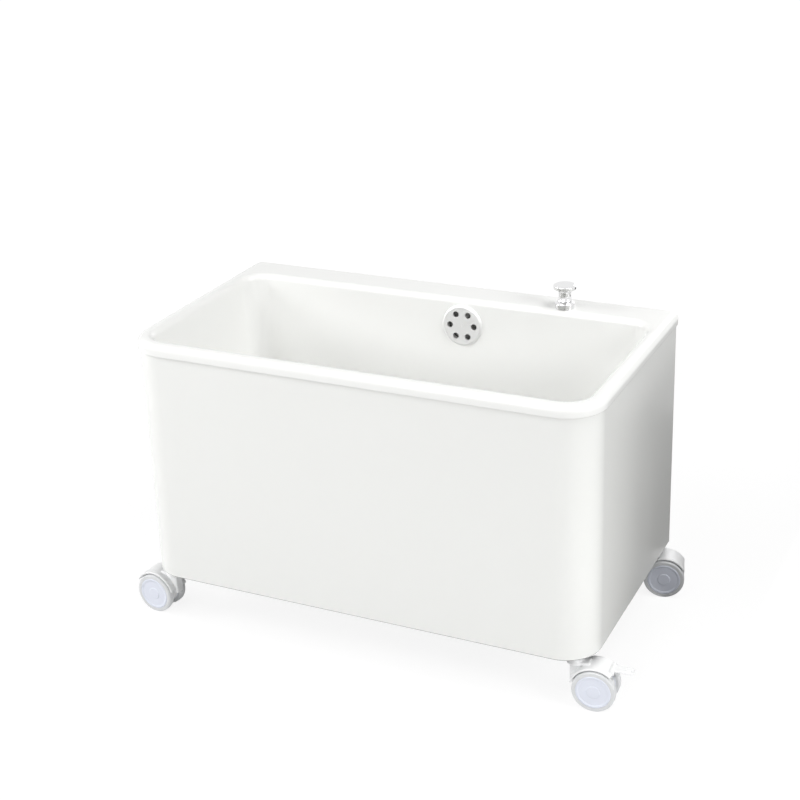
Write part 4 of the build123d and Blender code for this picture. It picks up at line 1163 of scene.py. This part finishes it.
@dataclass
class PopUp:
    """Deck knob, lift rod and strap, ball lever and stopper."""

    knob: tuple = (162.0, 131.0)
    drain: tuple = (30.0, 30.0)
    deck: float = 382.0
    rod: float = 3.0
    rod_room: float = 0.05
    rod_low: float = 135.0
    rod_socket: float = 14.0
    collar_shank: float = 5.75
    collar_low: float = -17.0
    collar: float = 12.3
    collar_side: float = 6.6
    collar_crown: float = 9.3
    collar_height: float = 9.0
    gap: float = 0.3
    knob_height: float = 21.5
    cap: float = 14.5
    cap_height: float = 6.0
    waist: float = 7.6
    step: float = 0.4
    crown_gap: float = 0.2
    lever_height: float = 111.0
    lever_radius: float = 2.5
    lever_end: float = 0.6
    ball: float = 6.0
    inner_arm: float = 34.0
    inner_tip: float = 5.0
    outer_reach: float = 142.2077
    swing: float = 10.0956
    heading: float = 37.4215
    stopper_seat: float = 150.2909
    stem: float = 6.0
    stem_below_eye: float = 7.0
    eye_rise: float = 2.9955
    eye: float = 4.0
    eye_reach: float = 12.0
    fin: tuple = (18.0, 1.0, 13.0)
    seal: float = 1.6

    @property
    def knob_low(self) -> float:
        """Height of the knob's foot."""
        return self.deck + self.collar_height + self.gap

    def collar_surface(self) -> Surface:
        """Collar on the deck with its shank, bored for the rod."""
        bore = self.rod + self.rod_room
        return turned((
            (bore, self.collar_low, 0), (self.collar_shank, self.collar_low, 0.3),
            (self.collar_shank, 0, 0), (self.collar, 0, 0.5), (self.collar, self.collar_side, 1.9),
            (self.collar_crown, self.collar_height, 1.2), (bore, self.collar_height, 0.3),
        ), base=self.deck, cyclic=True, steps=8)

    def knob_surface(self) -> Surface:
        """Waisted knob under a flat cap.

        The waist's radius is w + 1.9 (2 t - 1)^2 + 1.2 t^6 for its share t of the height.
        """
        shoulder = self.knob_low + self.knob_height - self.cap_height
        foot = self.knob_low + self.step
        share = np.linspace(0, 1, 15)
        radius = self.waist + 1.9 * (2 * share - 1) ** 2 + 1.2 * share**6
        waist = np.column_stack([radius, foot + (shoulder - self.crown_gap - foot) * share])
        crown = rounded_line(
            [
                (radius[-1] + self.step, shoulder), (self.cap - 0.6, shoulder), (self.cap, shoulder + 1.2),
                (self.cap, shoulder + 4.6), (self.cap - 2.6, shoulder + 5.6), (0, shoulder + self.cap_height),
            ],
            [0, 0.5, 0.6, 1.0, 2.4, 0], steps=8,
        )
        return lathe(np.vstack([[(0, self.knob_low), (radius[0] - self.step, self.knob_low)], waist, crown]))

    def stopper_surface(self) -> Surface:
        """Domed stopper with its stem and crossed guide fins."""
        cap = turned((
            (0, 0, 0), (19.6, 0, 0.4), (21, 1.5, 0.3), (21, 2.4, 0.8), (17.5, 3.9, 6), (0, 5.45, 0),
        ), base=self.stopper_seat)
        stem_low = self.lever_height + self.eye_rise - self.stem_below_eye
        stem = cylinder(self.stem, stem_low, self.stopper_seat + 1, (0.8, 0), 48)
        half, thin, tall = self.fin
        fin_low = self.stopper_seat - self.seal - self.gap - tall
        fin = block((-half, -thin, fin_low), (half, thin, self.stopper_seat + 0.5), 0.5)
        return cap + stem + crossed(fin)

    def lever_surface(self) -> Surface:
        """Ball lever along Z, the ball (r sin a, r cos a) in its middle."""
        radius, end, reach = self.lever_radius, self.lever_end, self.outer_reach
        touch = math.sqrt(self.ball**2 - radius**2)
        arc = np.linspace(math.atan2(radius, -touch), math.atan2(radius, touch), 17)
        tip = -(self.inner_arm + self.inner_tip)
        return lathe(np.vstack([
            [(0, tip), (radius - end, tip), (radius, tip + end)],
            np.column_stack([self.ball * np.sin(arc), self.ball * np.cos(arc)]),
            [(radius, reach - end), (radius - end, reach), (0, reach)],
        ]), around=40)

    def build(self, bench: Bench) -> None:
        """Make the turned pieces and dress the rest."""
        at_knob = shift(*self.knob)
        bench.stand(self.collar_surface().placed(at_knob), "knob_collar", Slot.CHROME)
        bench.stand(self.knob_surface().placed(at_knob), "knob", Slot.CHROME, KNOB_SHARP_ANGLE)
        rod = cylinder(self.rod, self.rod_low, self.knob_low + self.rod_socket, (0.5, 0.5), 40)
        bench.stand(rod.placed(at_knob), "lift_rod", Slot.CHROME)
        place = shift(*self.drain) @ turn("Z", self.heading)
        eye = cylinder(self.eye, -self.eye_reach, self.eye_reach, around=40)
        eye = eye.placed(shift(z=self.lever_height + self.eye_rise) @ turn("Y", 90))
        mesh = cut(mesh_of("stopper", self.stopper_surface().placed(place)), eye.placed(place))
        bench.set_piece(mesh, "stopper", Slot.CHROME)
        pivot = shift(self.inner_arm, 0, self.lever_height) @ turn("Y", self.swing / 2) @ turn("Y", 90)
        bench.stand(self.lever_surface().placed(place @ pivot), "pivot_rod", Slot.CHROME)
        bench.dress((
            ("lift_strap", Slot.ZINC_STEEL, 0.3),
            ("pivot_nut", Slot.WHITE_PLASTIC, 0.5),
            ("collar_nut", Slot.ZINC_STEEL, 0.4),
            ("stopper_seal", Slot.RUBBER, 0.3),
        ))


@dataclass
class Caster:
    """One hooded twin-wheel caster, its wheels trailing to +X of the swivel axis."""

    name: str
    side_x: int
    side_y: int
    heading: float
    braked: bool
    swivel: tuple = (273.0, 137.0)
    wheel: float = 26.0
    width: float = 11.0
    core: float = 21.0
    half_width: float = 17.5
    hub: tuple = (8.2, 7.4)
    tyre_inset: float = 0.6
    trail: float = 24.0
    fender_inner: float = 27.4
    fender_outer: float = 29.9
    fender_width: float = 31.0
    fender_rear: float = 165.0
    fender_front: float = 30.0
    fender_front_braked: float = 48.0
    fender_points: int = 60
    web_half: float = 6.0
    neck: tuple = (-6.5, 28.0, 52.0)
    saddle: tuple = (17.5, 7.2, 52.8, 56.7)
    turret: tuple = (11.5, 9.0, 53.5, 57.0)
    ear: tuple = (3.6, 7.35, 10.0)
    hood_top: float = 60.7
    voxel: float = 0.55
    pedal_angle: float = 52.0
    pedal_rise: float = 1.2
    pedal_half: float = 6.95
    pedal_reach: float = 24.95
    plate: tuple = (0.05, 2.6)
    barrel: float = 3.2
    pin: float = 1.5
    pin_half: float = 9.95
    ribs: int = 3
    rib_start: float = 14.5
    rib_pitch: float = 3.2
    rib_width: float = 1.4
    rib_half: float = 5.0
    rib: tuple = (1.6, 3.0)

    def place(self) -> np.ndarray:
        """Matrix from the caster's own frame."""
        return shift(self.side_x * self.swivel[0], self.side_y * self.swivel[1]) @ turn("Z", self.heading)

    def wheel_place(self, side: int) -> np.ndarray:
        """Matrix from a wheel's own frame, its Z outwards along the axle."""
        return shift(self.trail, 0, self.wheel) @ turn("X", -90.0 * side)

    def wheel_surface(self) -> Surface:
        """Wheel centre: a shallow dished face with a raised hub button."""
        inner, outer, core = self.half_width - self.width, self.half_width, self.core
        return turned((
            (0, inner, 0), (core, inner, 0.3), (core, outer - 0.9, 0.5), (core - 1.2, outer - 0.2, 0.6),
            (core - 2.6, outer - 0.35, 0.5), (core - 3.8, outer - 0.9, 1.2),
            (self.hub[0], outer - 0.9, 0.5), (self.hub[1], outer - 0.25, 1.6), (0, outer - 0.02, 0),
        ), around=128)

    def tyre_surface(self) -> Surface:
        """Tyre: a ring with round shoulders and a nearly flat tread."""
        inner = self.half_width - self.width + self.tyre_inset
        outer = self.half_width - self.tyre_inset
        shoulder = self.wheel - 0.15
        return turned((
            (self.core, inner, 0), (shoulder, inner, 2.0), (self.wheel, (inner + outer) / 2, 12),
            (shoulder, outer, 2.0), (self.core, outer, 0),
        ), around=128, cyclic=True)

    def fender(self) -> Surface:
        """Arched fender: a flat section with round edges carried along an arc over the wheels."""
        count = self.fender_points
        front = self.fender_front_braked if self.braked else self.fender_front
        angle = np.radians(np.linspace(front, self.fender_rear, count))
        outward = np.column_stack([np.cos(angle), np.zeros(count), np.sin(angle)])
        middle = (self.fender_inner + self.fender_outer) / 2
        path = outward * middle + np.array([self.trail, 0, self.wheel])
        half = (self.fender_outer - self.fender_inner) / 2
        wide = self.fender_width / 2
        section = rounded_line(
            [(-half, -wide), (half, -wide), (half, wide), (-half, wide)], [0.7, 1.2, 1.2, 0.7], closed=True
        )
        return carried(section, path, outward, np.tile((0.0, 1.0, 0.0), (count, 1)))

    def hood_surface(self) -> Surface:
        """Fender, web between the wheels and turret, as overlapping closed surfaces."""
        half = self.web_half
        web = cylinder(self.core, -half, half, (1, 1))
        web = web.placed(shift(self.trail, 0, self.wheel) @ turn("X", 90))
        rear, low, high = self.neck
        neck = block((rear, -half, low), (self.trail, half, high), 1.0)
        long, wide, low, high = self.saddle
        saddle = block((0, -wide, low), (long, wide, high), 1.6)
        flare, radius, foot, waist = self.turret
        turret = turned((
            (0, foot, 0), (flare, foot, 0), (radius, waist, 2.5),
            (radius, self.hood_top, 0.8), (0, self.hood_top, 0),
        ), around=64)
        hood = self.fender() + web + neck + saddle + turret
        if self.braked:
            radius, inner, outer = self.ear
            ear = cylinder(radius, -outer, -inner, (0.8, 0.3), 32)
            x, z = self.pedal_pivot()
            for way in (0, 180):
                hood += ear.placed(shift(x, 0, z) @ turn("Z", way) @ turn("X", 90))
        return hood

    def pedal_pivot(self) -> tuple:
        """X and Z of the brake pedal's pivot."""
        angle = math.radians(self.pedal_angle)
        reach = self.fender_outer + self.pedal_rise
        return self.trail + reach * math.cos(angle), self.wheel + reach * math.sin(angle)

    def hood_mesh(self) -> bpy.types.Mesh:
        """The hood's surfaces joined by a fine remesh, then relaxed like a moulding."""
        piece = bpy.data.objects.new("hood_work", mesh_of("hood_work", self.hood_surface()))
        bpy.context.scene.collection.objects.link(piece)
        join = piece.modifiers.new("join", "REMESH")
        join.mode = "VOXEL"
        join.voxel_size = self.voxel * MM
        relax = piece.modifiers.new("relax", "SMOOTH")
        relax.factor = 0.5
        relax.iterations = 4
        mesh = frozen(piece)
        bpy.data.objects.remove(piece)
        mesh.materials.clear()
        mesh.transform(in_metres(self.place()))
        return cleaned(mesh, HOOD_SHARP_ANGLE)

    def pedal_surface(self) -> Surface:
        """Brake pedal: a barrel on the pivot, its pin and a ribbed toe plate."""
        x, z = self.pedal_pivot()
        half = self.pedal_half
        barrel = cylinder(self.barrel, -half, half, (0.5, 0.5), 40)
        pin = cylinder(self.pin, -self.pin_half, self.pin_half, (0.2, 0.2), 24)
        pedal = (barrel + pin).placed(shift(x, 0, z) @ turn("X", 90))
        low, high = self.plate
        pedal += block((x, -half, z + low), (x + self.pedal_reach, half, z + high), 1.0, corner=3.8)
        low, high = self.rib
        for step in range(self.ribs):
            near = x + self.rib_start + self.rib_pitch * step
            far = near + self.rib_width
            pedal += block((near, -self.rib_half, z + low), (far, self.rib_half, z + high), 0.4)
        return pedal

    def build(self, bench: Bench) -> None:
        """Make the hood, the wheels and tyres and the pedal, and dress the axle."""
        place = self.place()
        bench.set_piece(self.hood_mesh(), f"{self.name}_hood", Slot.CASTER_PLASTIC)
        for label, side in (("a", -1), ("b", 1)):
            for kind, surface, slot in (
                ("wheel", self.wheel_surface(), Slot.WHEEL_PLASTIC),
                ("tyre", self.tyre_surface(), Slot.TREAD),
            ):
                surface = surface.placed(self.wheel_place(side)).placed(place)
                bench.stand(surface, f"{self.name}_{kind}_{label}", slot)
        bench.dress(((f"{self.name}_axle", Slot.ZINC_STEEL, 0.3),))
        if self.braked:
            bench.stand(self.pedal_surface().placed(place), f"{self.name}_brake_pedal", Slot.CASTER_PLASTIC)


CASTERS = (
    Caster("front_left", -1, -1, 175.0, False),
    Caster("front_right", 1, -1, 5.0, True),
    Caster("rear_left", -1, 1, 180.0, True),
    Caster("rear_right", 1, 1, 15.0, False),
)


# Studio


@dataclass(frozen=True)
class Lamp:
    """Soft rectangular lamp: place, aim and size in metres, power in watts and spread in degrees."""

    name: str
    place: tuple
    aim: tuple
    size: tuple
    power: float
    spread: float = 180.0

    def stand(self) -> None:
        """Put the lamp in the scene, its face towards its aim."""
        data = bpy.data.lights.new(self.name, "AREA")
        data.shape = "RECTANGLE"
        data.size, data.size_y = self.size
        data.energy = self.power
        data.spread = math.radians(self.spread)
        lamp = bpy.data.objects.new(self.name, data)
        lamp.visible_camera = False
        back = np.subtract(self.place, self.aim)
        back /= np.linalg.norm(back)
        right = np.cross((0, 0, 1), back)
        right /= np.linalg.norm(right)
        lamp.matrix_world = framed(np.column_stack([right, np.cross(back, right), back]), self.place)
        bpy.context.scene.collection.objects.link(lamp)


LAMPS = (
    Lamp("high_key", (-1.2, -1.9, 2.5), (0, 0, 0.22), (1.4, 1.1), 19.5),
    Lamp("front_soft", (-0.4, -2.7, 1.5), (0, 0, 0.22), (1.6, 1.0), 22.5),
    Lamp("left_soft", (-2.5, -0.9, 1.5), (0, 0, 0.22), (1.2, 1.0), 34.0),
    Lamp("right_soft", (2.6, -0.6, 1.5), (0, 0, 0.22), (1.0, 1.0), 31.0),
    Lamp("overhead", (1.1, 0.1, 2.2), (0, 0, 0.22), (1.0, 1.0), 16.5),
    Lamp("back_soft", (0.3, 2.8, 1.3), (0, 0.16, 0.22), (1.4, 1.0), 10.5),
    Lamp("corner_spot", (1.25, -0.42, 0.16), (0.2967, -0.16, 0.17), (0.15, 0.15), 0.055, 36.0),
)


@dataclass
class Studio:
    """Floor, world, lamps and camera."""

    azimuth: float = 25.8404
    elevation: float = 21.3976
    roll: float = -2.0002
    focal_pixels: float = 1578.578
    picture: float = 800.0
    horizon_pixel: float = 350.0
    sensor: float = 36.0
    far_clip: float = 50.0
    unit: float = 0.6
    floor_gap: float = 0.064
    offset: tuple = (0.0231, -0.4448, -3.4032)
    floor_size: float = 12.0
    floor_grey: float = 0.75
    floor_white: float = 0.95
    floor_glow: float = 0.82
    glow_strength: float = 1.06
    glow_near: float = 0.9
    glow_far: float = 1.8
    fill: float = 0.16
    card: tuple = (0.3, 0.424, -0.05, 0.7, 0.29)
    card_lift: float = 0.001
    card_grey: float = 0.03

    def camera(self) -> None:
        """Camera at the fitted view, with the small shift of the picture's frame."""
        a, e, r = np.radians([self.azimuth, self.elevation, self.roll])
        back = np.array([math.sin(a) * math.cos(e), -math.cos(a) * math.cos(e), math.sin(e)])
        right = np.array([math.cos(a), math.sin(a), 0])
        rolled = np.array([[math.cos(r), math.sin(r), 0], [-math.sin(r), math.cos(r), 0], [0, 0, 1]])
        rows = rolled @ np.array([right, np.cross(back, right), back])
        data = bpy.data.cameras.new("camera")
        data.sensor_width = self.sensor
        data.lens = self.focal_pixels / self.picture * self.sensor
        data.shift_y = (self.horizon_pixel - self.picture / 2) / self.picture
        data.clip_end = self.far_clip
        camera = bpy.data.objects.new("camera", data)
        place = -rows.T @ np.array(self.offset) * self.unit + (0, 0, self.floor_gap)
        camera.matrix_world = framed(rows.T, place)
        bpy.context.scene.collection.objects.link(camera)
        bpy.context.scene.camera = camera

    @staticmethod
    def seen_ray(graph: Graph) -> bpy.types.NodeSocket:
        """Value that is one for camera, glossy and transmission rays."""
        rays = graph.add("ShaderNodeLightPath").outputs
        value = rays["Is Camera Ray"]
        for name in ("Is Glossy Ray", "Is Transmission Ray"):
            value = graph.add("ShaderNodeMath", {0: value, 1: rays[name]}, operation="MAXIMUM").outputs[0]
        return value

    def world(self) -> None:
        """White where it is seen, a plain soft fill where it lights."""
        world = bpy.data.worlds.new("studio")
        bpy.context.scene.world = world
        world.use_nodes = True
        graph = Graph(world.node_tree)
        strength = graph.mixed(self.seen_ray(graph), self.fill, 1.0, "FLOAT")
        graph.feed(graph.tree.nodes["Background"], {"Color": (1, 1, 1, 1), "Strength": strength})

    @staticmethod
    def flat_piece(name: str, points: list, faces: list, material: bpy.types.Material) -> bpy.types.Object:
        """Object of a few flat faces in one material."""
        mesh = bpy.data.meshes.new(name)
        mesh.from_pydata(points, [], faces)
        mesh.materials.append(material)
        piece = bpy.data.objects.new(name, mesh)
        bpy.context.scene.collection.objects.link(piece)
        return piece

    def floor(self) -> None:
        """Pale floor that reads white to the camera and keeps a soft shadow."""
        material, graph = Graph.material("floor")
        seen = self.seen_ray(graph)
        tone = graph.mixed(seen, (*[self.floor_grey] * 3, 1), (*[self.floor_white] * 3, 1))
        away = graph.add("ShaderNodeVectorMath", {0: graph.here()}, operation="LENGTH").outputs["Value"]
        spread = graph.ramp(away, self.glow_near, self.glow_far, self.floor_glow)
        share = graph.add("ShaderNodeMath", {0: seen, 1: spread}, operation="MULTIPLY").outputs[0]
        diffuse = graph.add("ShaderNodeBsdfDiffuse", {"Color": tone})
        graph.blend(share, diffuse, graph.add("ShaderNodeEmission", {"Strength": self.glow_strength}))
        half = self.floor_size / 2
        corners = [(-half, -half, 0), (half, -half, 0), (half, half, 0), (-half, half, 0)]
        floor = self.flat_piece("floor", corners, [(0, 1, 2, 3)], material)

    def shade_card(self) -> None:
        """Bent dark card by the right side's rear that takes light from below.

        The camera doesn't see it, and it's clear from its outer side and from underneath, so that it
        leaves no trace on the floor.
        """
        material, graph = Graph.material("shade_card")
        dark = graph.add("ShaderNodeBsdfDiffuse", {"Color": (*[self.card_grey] * 3, 1)})
        behind = graph.add("ShaderNodeNewGeometry").outputs["Backfacing"]
        graph.blend(behind, dark, graph.add("ShaderNodeBsdfTransparent"))
        inner, outer, near, far, high = self.card
        bend = ((inner, self.card_lift), (outer, self.card_lift), (outer, high))
        points = [(x, y, z) for y in (near, far) for x, z in bend]
        card = self.flat_piece("shade_card", points, [(0, 1, 4, 3), (1, 2, 5, 4)], material)
        card.visible_camera = False
        card.visible_shadow = False

    def build(self) -> None:
        """Set the whole studio."""
        bpy.context.scene.view_settings.view_transform = "Standard"
        self.camera()
        self.world()
        self.floor()
        self.shade_card()
        for lamp in LAMPS:
            lamp.stand()


def main() -> None:
    """Build every piece on the frame, then the studio."""
    logging.basicConfig(level=logging.INFO, format="%(message)s")
    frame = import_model()
    shop = FinishShop()
    bench = Bench(frame, shop.all_materials())
    overflow = Overflow()
    BasinShell().build(bench, overflow)
    Enclosure().build(bench)
    UnderFrame().build(bench)
    Drain().build(bench)
    overflow.build(bench, shop.material("satin_chrome", SATIN_CHROME))
    PopUp().build(bench)
    bench.dress((("caster_stems", Slot.ZINC_STEEL, 0.4),))
    for caster in CASTERS:
        caster.build(bench)
    Studio().build()


if __name__ == "__main__":
    main()
